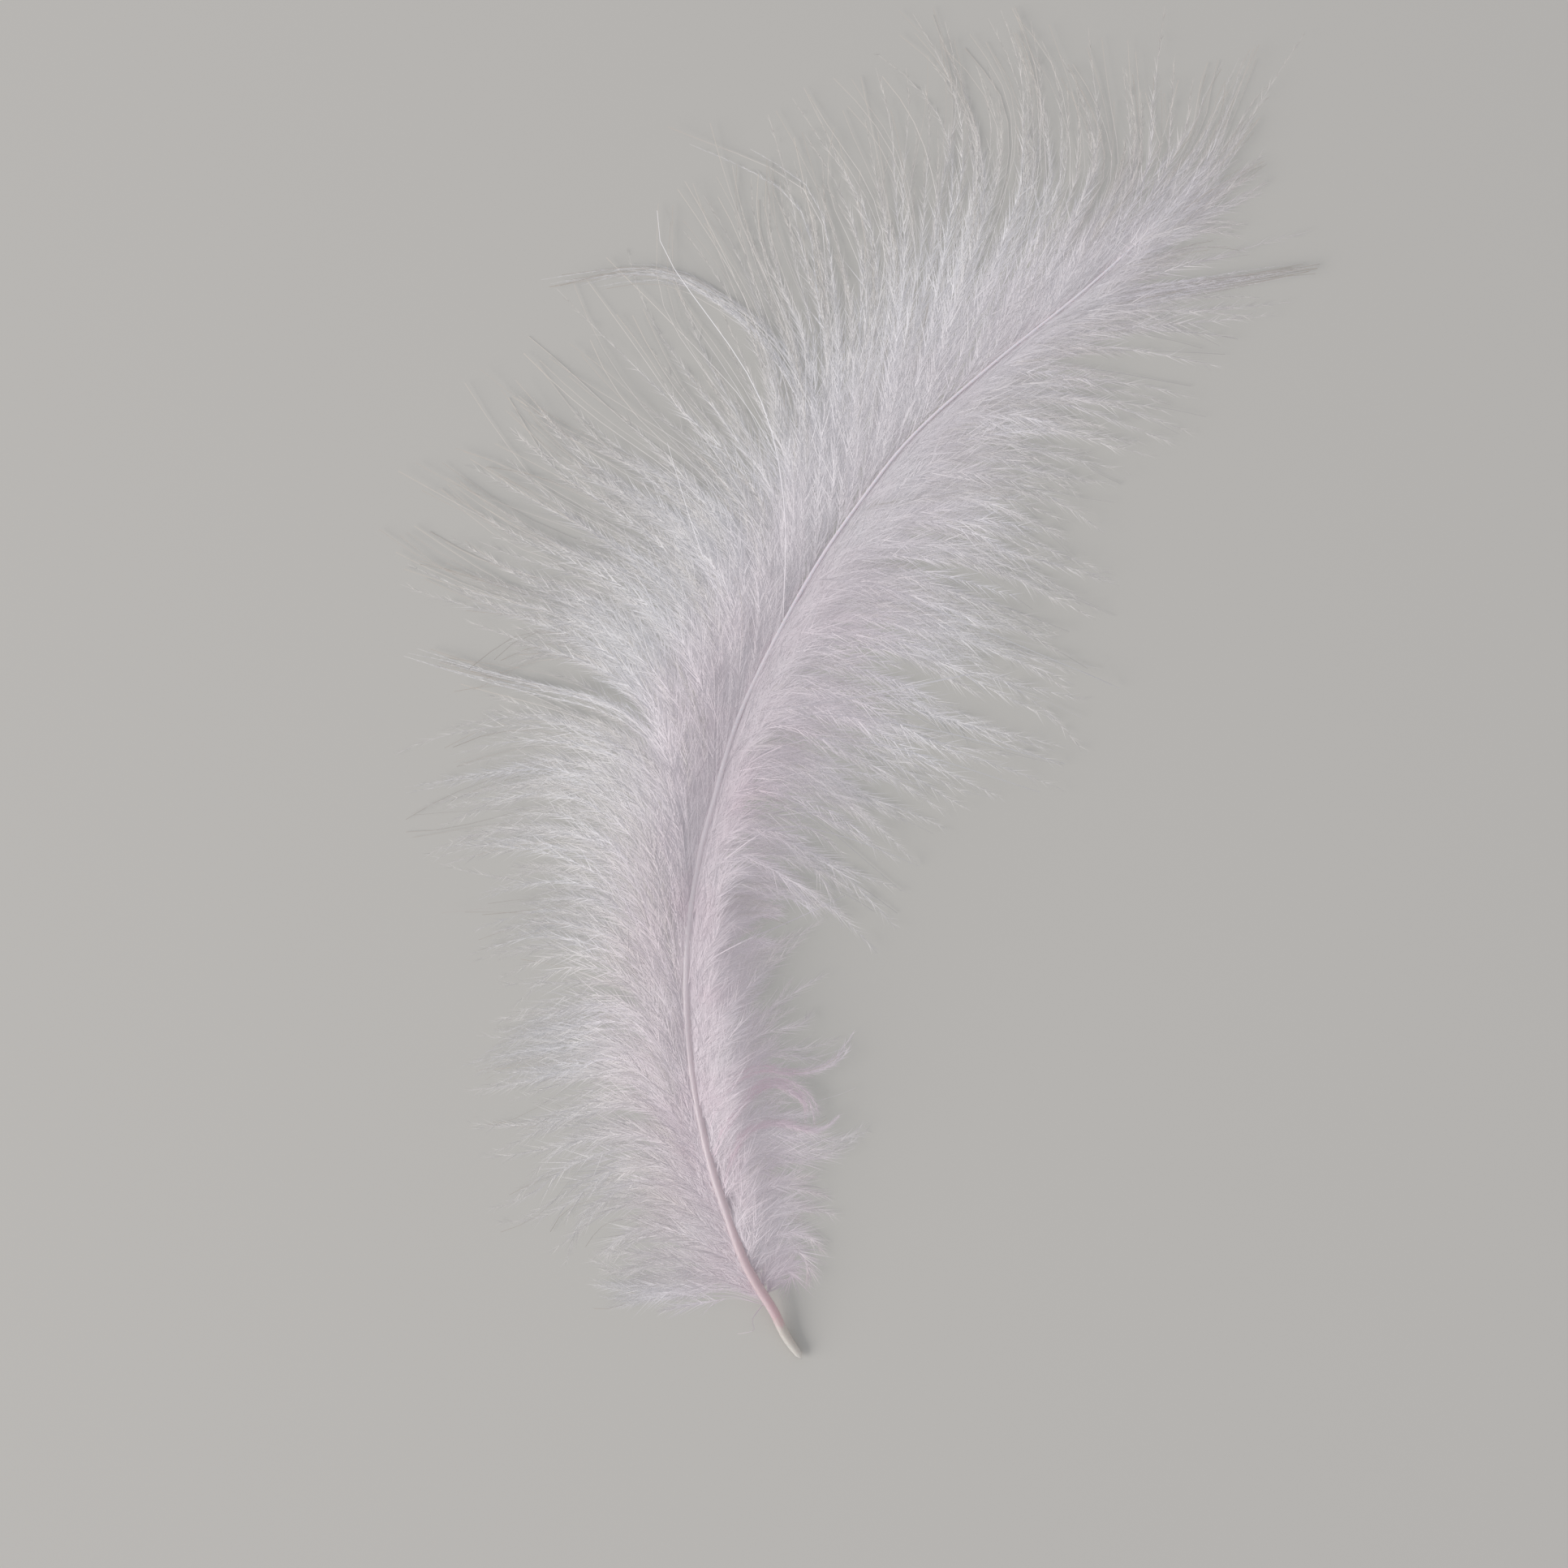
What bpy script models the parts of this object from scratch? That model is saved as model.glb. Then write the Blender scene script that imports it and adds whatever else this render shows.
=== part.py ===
"""A soft downy feather lying on its underside, as one solid that grew in one piece: a bare
quill, a curved tapering shaft, and the locks of barbs along its two sides.

Plan points are millimetres from the quill's tip, X to the right and Y up the feather.
Heights are millimetres above the surface that the feather lies on.
The finished solid is moved so that the middle of its box's underside is the origin.
"""

import math

import bmesh
import bpy
import numpy as np

MM = 0.001

SHAFT_SIDES = 8
SHAFT_STEP = 4.0       # distance between the shaft's sections
READING_STEPS = 40     # fine steps from one row to the next when a curve's length is measured
DOWN_COLOUR = (0.60, 0.53, 0.57, 1.0)
DOWN_ROUGHNESS = 0.85
SHARP_EDGE = math.radians(50)

# The shaft's middle line: x, y, height of its middle, diameter.
SHAFT = (
    (0.0, 0.0, 0.42, 0.62),
    (-1.4, 2.0, 0.60, 0.84),
    (-2.5, 4.3, 1.10, 0.86),
    (-4.8, 8.3, 2.00, 0.84),
    (-6.7, 13.6, 3.10, 0.80),
    (-8.0, 17.9, 3.80, 0.76),
    (-9.1, 23.2, 4.35, 0.72),
    (-9.7, 28.0, 4.60, 0.69),
    (-9.9, 32.8, 4.50, 0.66),
    (-9.6, 38.4, 4.10, 0.60),
    (-8.7, 43.9, 3.60, 0.54),
    (-7.7, 47.8, 3.20, 0.49),
    (-5.7, 54.8, 2.50, 0.41),
    (-2.5, 61.8, 1.95, 0.34),
    (1.1, 68.3, 1.60, 0.30),
    (4.9, 73.9, 1.40, 0.27),
    (9.6, 79.8, 1.25, 0.25),
    (16.5, 86.0, 1.10, 0.24),
    (24.2, 92.2, 0.95, 0.22),
    (29.7, 97.2, 0.80, 0.20),
    (31.4, 99.2, 0.75, 0.20),
)

# A lock is its width, then its middle line in plan from the shaft to the barbs' tips.
LEFT_LOCKS = (
    (4.0, (-3.1, 5.3), (-6, 6.5), (-10.5, 6.5), (-15, 6), (-18.5, 6.5)),
    (5.0, (-3.9, 7.1), (-7.5, 10), (-12, 12), (-16, 12), (-20, 10)),
    (5.5, (-5.8, 10.8), (-9.5, 13.5), (-13.5, 15), (-17.5, 14.5), (-20, 13), (-22.5, 9.5)),
    (5.5, (-6.7, 13.4), (-10, 16.5), (-14.5, 17.5), (-18.5, 16), (-22, 13), (-26, 10.5)),
    (6.0, (-7.7, 16.9), (-11, 20.5), (-15, 22), (-20, 20.5), (-25, 19), (-30, 19)),
    (6.5, (-8.6, 20.2), (-11.5, 24.5), (-15.5, 27), (-21, 26.5), (-25, 26), (-29.5, 24.5)),
    (6.0, (-9.1, 23.4), (-12, 28.5), (-16.5, 30.5), (-21.5, 29.5), (-27, 28)),
    (6.5, (-9.6, 26.8), (-12.5, 33), (-17, 36.5), (-22.5, 37.5), (-29, 35.5)),
    (6.0, (-9.8, 30.1), (-13, 36.5), (-18, 40), (-24, 40), (-31.5, 38.5)),
    (6.5, (-9.8, 33.3), (-13, 40), (-17.5, 44), (-23, 45), (-28.5, 44.5), (-33, 42.5)),
    (6.0, (-9.8, 36.1), (-13, 43), (-17, 47), (-21.5, 48.5), (-28, 47.5), (-34.5, 46)),
    (6.0, (-9.6, 38.2), (-12, 45), (-15.5, 49.5), (-21, 51.5), (-27.5, 50.5), (-34.5, 48.5)),
    (6.0, (-9.5, 39.7), (-11.5, 46.5), (-14.5, 51.5), (-19.5, 53.5), (-26, 53.5), (-34.5, 50)),
    (3.5, (-9.0, 42.4), (-11, 49.5), (-14.5, 53.5), (-19, 55.5), (-24, 57.5), (-34.5, 61)),
    (3.5, (-8.6, 44.6), (-10.5, 51.5), (-13, 56.5), (-17, 59.5), (-21, 60.5), (-28.5, 58)),
    (5.0, (-7.9, 47.0), (-10.5, 54), (-13.5, 59.5), (-17.5, 62.5), (-27.5, 66.5), (-35.5, 69.5)),
    (5.0, (-7.3, 49.4), (-9.5, 56.5), (-13, 62.5), (-17.5, 66.5), (-27.5, 69.5), (-36.5, 75)),
    (4.0, (-6.2, 53.3), (-8, 60.5), (-11, 66), (-15.5, 69), (-24, 73), (-33.5, 79)),
    (4.0, (-5.5, 55.4), (-7, 62), (-10, 67.5), (-14, 71), (-19, 74), (-29.5, 78)),
    (5.0, (-4.2, 58.2), (-6, 64), (-8.5, 69), (-12, 72.5), (-20, 77), (-24, 81.5), (-28, 86)),
    (4.5, (-3.0, 60.7), (-4.5, 66.5), (-7, 72), (-11, 75.5), (-20, 80.5), (-27, 86.5)),
    (5.0, (-1.8, 62.9), (-3.5, 69), (-6, 74), (-9.5, 78), (-14.5, 82), (-24.5, 89.5)),
    (3.5, (-0.7, 65.0), (-2.5, 71), (-5, 76.5), (-8, 80.5), (-11, 84), (-18, 95)),
)
TOP_LOCKS = (
    (4.0, (3.1, 71.4), (2, 78), (-2.5, 87.5), (-9.5, 93), (-14, 94), (-19.5, 93), (-23, 92.5)),
    (3.5, (0.3, 66.9), (-1.5, 73.5), (-4, 79), (-7, 84), (-11.5, 92), (-12, 100)),
    (5.0, (1.5, 69.1), (0, 75.5), (-1.5, 82), (-3, 88), (-5.5, 93.5), (-11.5, 101.5)),
    (4.0, (4.4, 73.2), (2, 86.5), (1.5, 93), (0.5, 99), (-3, 102), (-12, 106)),
    (4.5, (2.4, 70.3), (-0.5, 84), (-3, 91), (-5, 96.5), (-9, 107)),
    (4.5, (3.8, 72.3), (1, 86), (-1.5, 93), (-3, 98.5), (-2.5, 104.5)),
    (5.0, (5.2, 74.4), (2.5, 88), (1, 95), (0, 102), (-2, 109.5)),
    (4.5, (6.8, 76.3), (4.5, 89.5), (3.5, 96), (2.5, 100.5), (3, 106.5)),
    (4.5, (8.2, 78.1), (7, 90), (7.5, 96.5), (6, 102), (3.5, 105.5), (0, 110.5)),
    (4.5, (9.6, 79.8), (8, 93), (7, 99.5), (5.5, 106.5), (4, 111.5)),
    (5.0, (11.4, 81.6), (11, 94.5), (11.5, 100.5), (13.5, 110.5), (12, 117.5)),
    (5.0, (13.5, 83.4), (14, 97), (15, 103.5), (14, 108), (11, 112.5), (7, 116)),
    (5.0, (15.7, 85.3), (16.5, 98), (18, 103.5), (17.5, 108.5), (15, 112.5), (12.5, 116)),
    (5.0, (17.7, 87.0), (19, 99.5), (19.5, 105), (19, 111.5), (17, 117.5)),
    (5.0, (19.8, 88.6), (21.5, 100), (22, 105.5), (21, 111.5), (18, 116.5)),
    (4.5, (21.9, 90.3), (24, 100.5), (25, 105), (24, 109), (22, 113.5)),
    (4.5, (24.0, 92.1), (27, 101), (27.5, 105.5), (26.5, 112.5)),
    (4.0, (25.9, 93.7), (28.5, 102), (29, 108.5), (29, 117.5)),
    (4.5, (27.6, 95.3), (30.5, 103), (31, 107), (31, 111.5)),
    (4.0, (29.0, 96.6), (33.5, 105), (35, 109), (36.5, 112.5)),
    (3.5, (30.6, 98.1), (34, 102.5), (37, 108.5), (39.5, 114)),
    (3.0, (30.0, 97.5), (34, 101), (37.5, 105), (39.5, 107.5)),
    (3.5, (29.8, 97.4), (33, 98.5), (35.5, 100.5), (40.5, 103.5)),
)
RIGHT_LOCKS = (
    (4.5, (16.5, 86.0), (21, 89.5), (27, 91.5), (32.5, 92.5), (39, 93.5), (45, 94.5)),
    (4.0, (22.6, 90.9), (27, 94), (31, 95.5), (35, 96.5), (38, 96.5)),
    (6.0, (13.1, 83.3), (17.5, 86.5), (22.5, 88.5), (28.5, 89.5), (37.5, 90)),
    (6.0, (11.0, 81.2), (15.5, 84.5), (20.5, 86.5), (26, 87.5), (37.5, 86.5)),
    (6.0, (8.9, 79.1), (13, 82.5), (17.5, 84.5), (23.5, 84.5), (29.5, 84), (37, 82)),
    (6.0, (6.3, 75.9), (9.5, 79), (14, 81), (20, 81), (31, 78)),
    (5.5, (4.1, 72.8), (7.5, 75.5), (12, 77.5), (17.5, 78), (28.5, 75.5)),
    (5.5, (2.8, 70.9), (6, 73.5), (11, 75.5), (17, 75.5), (23.5, 73.5), (31, 69.5)),
    (5.5, (1.7, 69.1), (4.5, 72), (9.5, 73.5), (15, 73), (25.5, 67.5)),
    (5.5, (0.1, 66.4), (3, 69), (7.5, 70.5), (13.5, 70), (19, 68), (27.5, 64)),
    (5.5, (-1.1, 64.0), (1.5, 67), (6, 68), (11.5, 67), (22, 62.5)),
    (5.5, (-2.5, 61.7), (0.5, 64.5), (5, 65.5), (11.5, 64.5), (23.5, 60.5), (28.5, 57.5)),
    (5.5, (-4.1, 58.4), (-1.5, 61), (2.5, 62.5), (8.5, 61.5), (15, 58.5), (26, 54.5)),
    (5.0, (-4.9, 56.6), (-2.5, 59.5), (1.5, 60.5), (7.5, 59), (14, 56), (24.5, 52.5)),
    (5.0, (-5.6, 54.7), (-3.5, 57.5), (0.5, 58.5), (6, 57), (12, 54), (23.5, 51)),
    (5.0, (-6.2, 52.6), (-4.5, 55.5), (-0.5, 56.5), (5, 55), (10.5, 52), (22, 49)),
    (5.0, (-6.9, 50.5), (-5, 53), (-2, 54.5), (3.5, 53), (8, 51), (15, 46)),
    (5.0, (-7.6, 48.2), (-6, 51), (-3, 52.5), (1.5, 51.5), (6.5, 48.5), (14.5, 44.5)),
    (5.0, (-8.2, 46.0), (-6.5, 49), (-3.5, 50.5), (0.5, 49.5), (4.5, 47.5), (11.5, 43)),
    (5.0, (-8.9, 43.2), (-7.5, 46), (-5, 47.5), (-1.5, 47), (3, 45), (10.5, 38.5)),
    (5.0, (-9.3, 40.3), (-8, 43), (-5.5, 44.5), (-2.5, 44), (1, 42), (8.5, 37.5)),
    (5.0, (-9.7, 37.1), (-8.5, 40), (-6.5, 41.5), (-3.5, 41.5), (0, 40.5), (5.5, 37.5)),
    (4.5, (-9.8, 29.0), (-9.5, 32), (-8, 34.5), (-6, 37), (-3, 38.5)),
    (3.5, (-9.6, 26.2), (-8.5, 29.5), (-6, 33.5), (-3, 35.5), (4, 40)),
    (4.0, (-9.0, 22.7), (-7.5, 26.5), (-5, 30.5), (-2.5, 33.5), (0, 38)),
    (4.5, (-8.4, 19.5), (-7, 23), (-5, 26), (-2.5, 28.5), (3.5, 33.5)),
    (4.5, (-7.8, 17.1), (-7, 20.5), (-5.5, 23.5), (-2.5, 25), (1, 24.5), (4, 26)),
    (5.0, (-7.2, 15.0), (-6, 18), (-4.5, 19.5), (-2, 20), (1, 20), (4, 21.5)),
    (5.5, (-6.4, 12.5), (-5.5, 15.5), (-3.5, 17), (0, 17.5), (3, 18.5), (6, 20)),
    (5.5, (-5.6, 10.4), (-4.5, 13), (-2.5, 15), (0, 15), (2.5, 14)),
    (5.0, (-4.8, 8.3), (-3.5, 10.5), (-2, 11.5), (0, 11.5), (2.5, 9.5)),
    (4.5, (-3.4, 5.7), (-2.5, 8), (-1, 9), (0.5, 8), (1, 6)),
)

LOCK_STEP = 6.4        # distance between a lock's sections
LOCK_LEAST_SECTIONS = 5
LOCK_CROWN = 0.17      # a lock's top stands this part of its width above its middle
LOCK_KEEL = 0.22       # and its underside hangs this part of its width below
LOCK_ROOT_WIDTH = 0.42
LOCK_TIP_WIDTH = 0.07
LOCK_FULLEST = 0.45    # the share of its length at which a lock is widest
LOCK_BLUNTNESS = 0.8   # at 1 its sides close to the tip in straight lines, below 1 they bulge
LOCK_ROOT_DROP = 0.12  # a lock's middle starts this far below the shaft's middle
ARCH_FOOT = 1.2        # below this height of the shaft a lock doesn't stand up from it
ARCH_RISE = 0.60       # above it, a lock rises by this part of what is over it
DROOP_LEAST = 0.40     # share of a lock's length over which it comes down to the surface,
DROOP_PER_MM = 0.09    # and what each millimetre above the arch's foot adds to it
REST_HEIGHT = 0.35     # height of a lock's middle where it lies on the surface
CROSSING_WELD = 0.02   # corners this close, where locks cross, become one
GROUND_WIDTH = 400.0
GROUND_DEPTH = 10.0


def clear_objects():
    for item in list(bpy.data.objects):
        bpy.data.objects.remove(item, do_unlink=True)


def smooth_rows(rows, places):
    """Rows read off a smooth curve through the given rows.

    Between two rows the curve is a Catmull-Rom cubic, whose slope at each row is half the
    step from the row before it to the row after it. Places count along the rows from 0.
    """
    rows = np.array(rows, dtype=float)
    ends = np.vstack((2 * rows[0] - rows[1], rows, 2 * rows[-1] - rows[-2]))
    first = np.clip(np.floor(places).astype(int), 0, len(rows) - 2)
    t = (places - first)[:, None]
    before, here, there, after = (ends[first + k] for k in range(4))
    bend = 2 * before - 5 * here + 4 * there - after
    twist = 3 * here - before - 3 * there + after
    return 0.5 * (2 * here + (there - before) * t + bend * t ** 2 + twist * t ** 3)


def even_rows(rows, count):
    """Rows spaced evenly by plan distance along the smooth curve through the given rows."""
    fine = smooth_rows(rows, np.linspace(0, len(rows) - 1, READING_STEPS * len(rows)))
    steps = np.linalg.norm(np.diff(fine[:, :2], axis=0), axis=1)
    run = np.concatenate(([0.0], np.cumsum(steps)))
    wanted = np.linspace(0, run[-1], count)
    columns = [np.interp(wanted, run, fine[:, k]) for k in range(fine.shape[1])]
    return np.stack(columns, axis=1), run[-1]


def plan_sides(points):
    """The level direction across a path at each of its points, on its left."""
    along = np.gradient(points[:, :2], axis=0)
    along /= np.linalg.norm(along, axis=1)[:, None]
    return np.stack((-along[:, 1], along[:, 0], np.zeros(len(along))), axis=1)


def skinned_object(name, rings):
    """A closed object through rings of points, each ring going round from left over the top."""
    count, sides = rings.shape[:2]
    faces = [tuple(reversed(range(sides)))]
    for ring in range(count - 1):
        for side in range(sides):
            near = ring * sides
            far = near + sides
            other = (side + 1) % sides
            faces.append((near + side, near + other, far + other, far + side))
    faces.append(tuple(range((count - 1) * sides, count * sides)))
    mesh = bpy.data.meshes.new(name)
    mesh.from_pydata((rings.reshape(-1, 3) * MM).tolist(), [], faces)
    item = bpy.data.objects.new(name, mesh)
    bpy.context.collection.objects.link(item)
    return item


def shaft_object():
    """The shaft: a round tube along its middle line that narrows to its upper end."""
    count = int(SHAFT[-1][1] / SHAFT_STEP)
    rows, _ = even_rows(SHAFT, count)
    middle = rows[:, :3]
    radius = rows[:, 3] / 2
    side = plan_sides(middle)
    turn = np.linspace(math.pi, -math.pi, SHAFT_SIDES, endpoint=False)
    level = -np.cos(turn)[None, :, None] * side[:, None, :]
    upright = np.sin(turn)[None, :, None] * np.array((0.0, 0.0, 1.0))
    rings = middle[:, None, :] + radius[:, None, None] * (level + upright)
    return skinned_object("feather", rings)


def shaft_height(point):
    """Height of the shaft's middle where it passes a plan point, read by how far up that is."""
    line = np.array(SHAFT)
    return np.interp(point[1], line[:, 1], line[:, 2])


def lock_object(name, width, points):
    """A lock: a kite-shaped section carried from the shaft out to the barbs' tips.

    Its middle starts in the shaft, rises a little, and comes down to the surface. It is
    fullest a little before half way and narrows to a point at the tips.
    """
    _, length = even_rows(points, LOCK_LEAST_SECTIONS)
    count = max(LOCK_LEAST_SECTIONS, round(length / LOCK_STEP))
    middle, _ = even_rows(points, count)
    t = np.linspace(0, 1, count)
    start = shaft_height(points[0]) - LOCK_ROOT_DROP
    lift = max(0.0, start - ARCH_FOOT)
    turn = math.pi * np.clip(t / (DROOP_LEAST + DROOP_PER_MM * lift), 0, 1)
    fall = 0.5 + 0.5 * np.cos(turn)
    height = REST_HEIGHT + (start - REST_HEIGHT) * fall + ARCH_RISE * lift * np.sin(turn)
    growing = LOCK_ROOT_WIDTH + (1 - LOCK_ROOT_WIDTH) * np.sin(0.5 * math.pi * t / LOCK_FULLEST)
    closing = np.clip((1 - t) / (1 - LOCK_FULLEST), 0, 1) ** LOCK_BLUNTNESS
    shape = np.where(t < LOCK_FULLEST, growing, LOCK_TIP_WIDTH + (1 - LOCK_TIP_WIDTH) * closing)
    across = 0.5 * width * shape
    side = plan_sides(middle)
    centre = np.column_stack((middle, height))
    up = np.array((0.0, 0.0, 1.0))
    crown = (LOCK_CROWN * width * shape)[:, None] * up
    keel = (LOCK_KEEL * width * shape)[:, None] * up
    edge = across[:, None] * side
    rings = np.stack((centre + edge, centre + crown, centre - edge, centre - keel), axis=1)
    return skinned_object(name, rings)


def mark_as_guide(item):
    item.hide_render = True
    item.display_type = "WIRE"


def ground_object():
    """A block whose top is the surface that the feather lies on."""
    bpy.ops.mesh.primitive_cube_add(size=1)
    ground = bpy.context.object
    ground.name = "ground"
    ground.scale = (GROUND_WIDTH * MM, GROUND_WIDTH * MM, GROUND_DEPTH * MM)
    ground.location = (0, 0, -0.5 * GROUND_DEPTH * MM)
    return ground


def grow_together(item, others):
    """Fuse the others to the item, and cut both off flat at the surface they lie on.

    Dozens of locks cross at each place along the shaft. The exact solver leaves open edges
    there, so the manifold solver joins them, and the exact one makes the flat cut.
    """
    group = bpy.data.collections.new("locks")
    bpy.context.scene.collection.children.link(group)
    for other in others:
        mark_as_guide(other)
        group.objects.link(other)
        bpy.context.collection.objects.unlink(other)
    union = item.modifiers.new("grown_together", "BOOLEAN")
    union.operation = "UNION"
    union.operand_type = "COLLECTION"
    union.collection = group
    union.solver = "MANIFOLD"
    ground = ground_object()
    mark_as_guide(ground)
    flat = item.modifiers.new("flat_underside", "BOOLEAN")
    flat.operation = "DIFFERENCE"
    flat.object = ground
    evaluated = item.evaluated_get(bpy.context.evaluated_depsgraph_get())
    mesh = bpy.data.meshes.new_from_object(evaluated)
    item.modifiers.clear()
    item.data = mesh
    for other in list(group.objects) + [ground]:
        bpy.data.objects.remove(other, do_unlink=True)
    bpy.data.collections.remove(group)


def keep_outer_shell(mesh):
    """Fill the closed pockets between crossing locks by deleting every shell but the largest."""
    form = bmesh.new()
    form.from_mesh(mesh)
    bmesh.ops.remove_doubles(form, verts=form.verts, dist=CROSSING_WELD * MM)
    waiting = set(form.faces)
    shells = []
    while waiting:
        shell = {waiting.pop()}
        rim = list(shell)
        while rim:
            face = rim.pop()
            near = {other for edge in face.edges for other in edge.link_faces} & waiting
            waiting -= near
            shell |= near
            rim.extend(near)
        shells.append(shell)
    shells.sort(key=len)
    inner = [face for shell in shells[:-1] for face in shell]
    bmesh.ops.delete(form, geom=inner, context="FACES")
    form.to_mesh(mesh)
    form.free()


def stand_on_origin(mesh):
    """Move the mesh so that the middle of its box's underside is the origin."""
    points = np.empty(len(mesh.vertices) * 3)
    mesh.vertices.foreach_get("co", points)
    points = points.reshape(-1, 3)
    low = points.min(axis=0)
    high = points.max(axis=0)
    points -= ((low[0] + high[0]) / 2, (low[1] + high[1]) / 2, low[2])
    mesh.vertices.foreach_set("co", points.ravel())
    mesh.update()


def down_material():
    material = bpy.data.materials.new("pale_pink_down")
    material.use_nodes = True
    shader = material.node_tree.nodes["Principled BSDF"]
    shader.inputs["Base Color"].default_value = DOWN_COLOUR
    shader.inputs["Roughness"].default_value = DOWN_ROUGHNESS
    shader.inputs["Metallic"].default_value = 0.0
    material.diffuse_color = DOWN_COLOUR
    return material


def main():
    clear_objects()
    feather = shaft_object()
    rows = LEFT_LOCKS + TOP_LOCKS + RIGHT_LOCKS
    locks = [lock_object(f"lock_{n:02d}", row[0], row[1:]) for n, row in enumerate(rows)]
    grow_together(feather, locks)
    keep_outer_shell(feather.data)
    stand_on_origin(feather.data)
    feather.data.shade_smooth()
    feather.data.set_sharp_from_angle(angle=SHARP_EDGE)
    feather.data.materials.clear()
    feather.data.materials.append(down_material())


main()
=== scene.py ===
"""A soft downy feather, dyed a very pale pink, lying on a pale surface.

Shapes are worked out in millimetres on the feather's own plan, X to the right and Y up from
the quill's tip, Z up from the surface, and go into the frame's metres as they become meshes.
The feather is its shaft and, region by region, the barbs that grow from it and the barbules
that grow from those. The barbs follow the lines of the locks that the solid has, and a few
lines more.
"""

import math

import bpy
import numpy as np
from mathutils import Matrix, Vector


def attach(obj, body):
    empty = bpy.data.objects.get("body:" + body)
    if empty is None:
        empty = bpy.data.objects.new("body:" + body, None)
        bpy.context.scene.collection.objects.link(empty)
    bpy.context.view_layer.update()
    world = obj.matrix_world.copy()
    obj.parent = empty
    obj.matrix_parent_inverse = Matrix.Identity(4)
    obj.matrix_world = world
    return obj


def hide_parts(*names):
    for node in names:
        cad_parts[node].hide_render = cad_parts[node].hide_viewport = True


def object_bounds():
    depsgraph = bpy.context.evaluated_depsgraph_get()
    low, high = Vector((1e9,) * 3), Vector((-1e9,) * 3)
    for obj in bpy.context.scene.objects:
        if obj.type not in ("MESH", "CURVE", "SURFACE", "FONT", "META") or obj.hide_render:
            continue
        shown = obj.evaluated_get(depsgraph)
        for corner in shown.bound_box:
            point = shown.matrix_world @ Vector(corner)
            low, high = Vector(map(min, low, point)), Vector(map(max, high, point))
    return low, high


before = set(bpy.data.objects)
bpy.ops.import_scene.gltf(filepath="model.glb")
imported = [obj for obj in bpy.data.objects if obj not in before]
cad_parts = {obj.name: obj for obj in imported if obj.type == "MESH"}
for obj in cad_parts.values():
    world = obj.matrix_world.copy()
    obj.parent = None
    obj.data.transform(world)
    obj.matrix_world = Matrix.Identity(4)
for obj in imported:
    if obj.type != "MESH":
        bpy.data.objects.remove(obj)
CAD_LOW, CAD_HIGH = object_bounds()

MM = 0.001

# ---------------------------------------------------------------- the feather's own lines

# The shaft's middle line: x, y, height of its middle, diameter.
SHAFT = np.array((
    (0.0, 0.0, 0.42, 0.62),
    (-1.4, 2.0, 0.60, 0.84),
    (-2.5, 4.3, 1.10, 0.86),
    (-4.8, 8.3, 2.00, 0.84),
    (-6.7, 13.6, 3.10, 0.80),
    (-8.0, 17.9, 3.80, 0.76),
    (-9.1, 23.2, 4.35, 0.72),
    (-9.7, 28.0, 4.60, 0.69),
    (-9.9, 32.8, 4.50, 0.66),
    (-9.6, 38.4, 4.10, 0.60),
    (-8.7, 43.9, 3.60, 0.54),
    (-7.7, 47.8, 3.20, 0.49),
    (-5.7, 54.8, 2.50, 0.41),
    (-2.5, 61.8, 1.95, 0.34),
    (1.1, 68.3, 1.60, 0.30),
    (4.9, 73.9, 1.40, 0.27),
    (9.6, 79.8, 1.25, 0.25),
    (16.5, 86.0, 1.10, 0.24),
    (24.2, 92.2, 0.95, 0.22),
    (29.7, 97.2, 0.80, 0.20),
    (31.4, 99.2, 0.75, 0.20),
))

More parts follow.
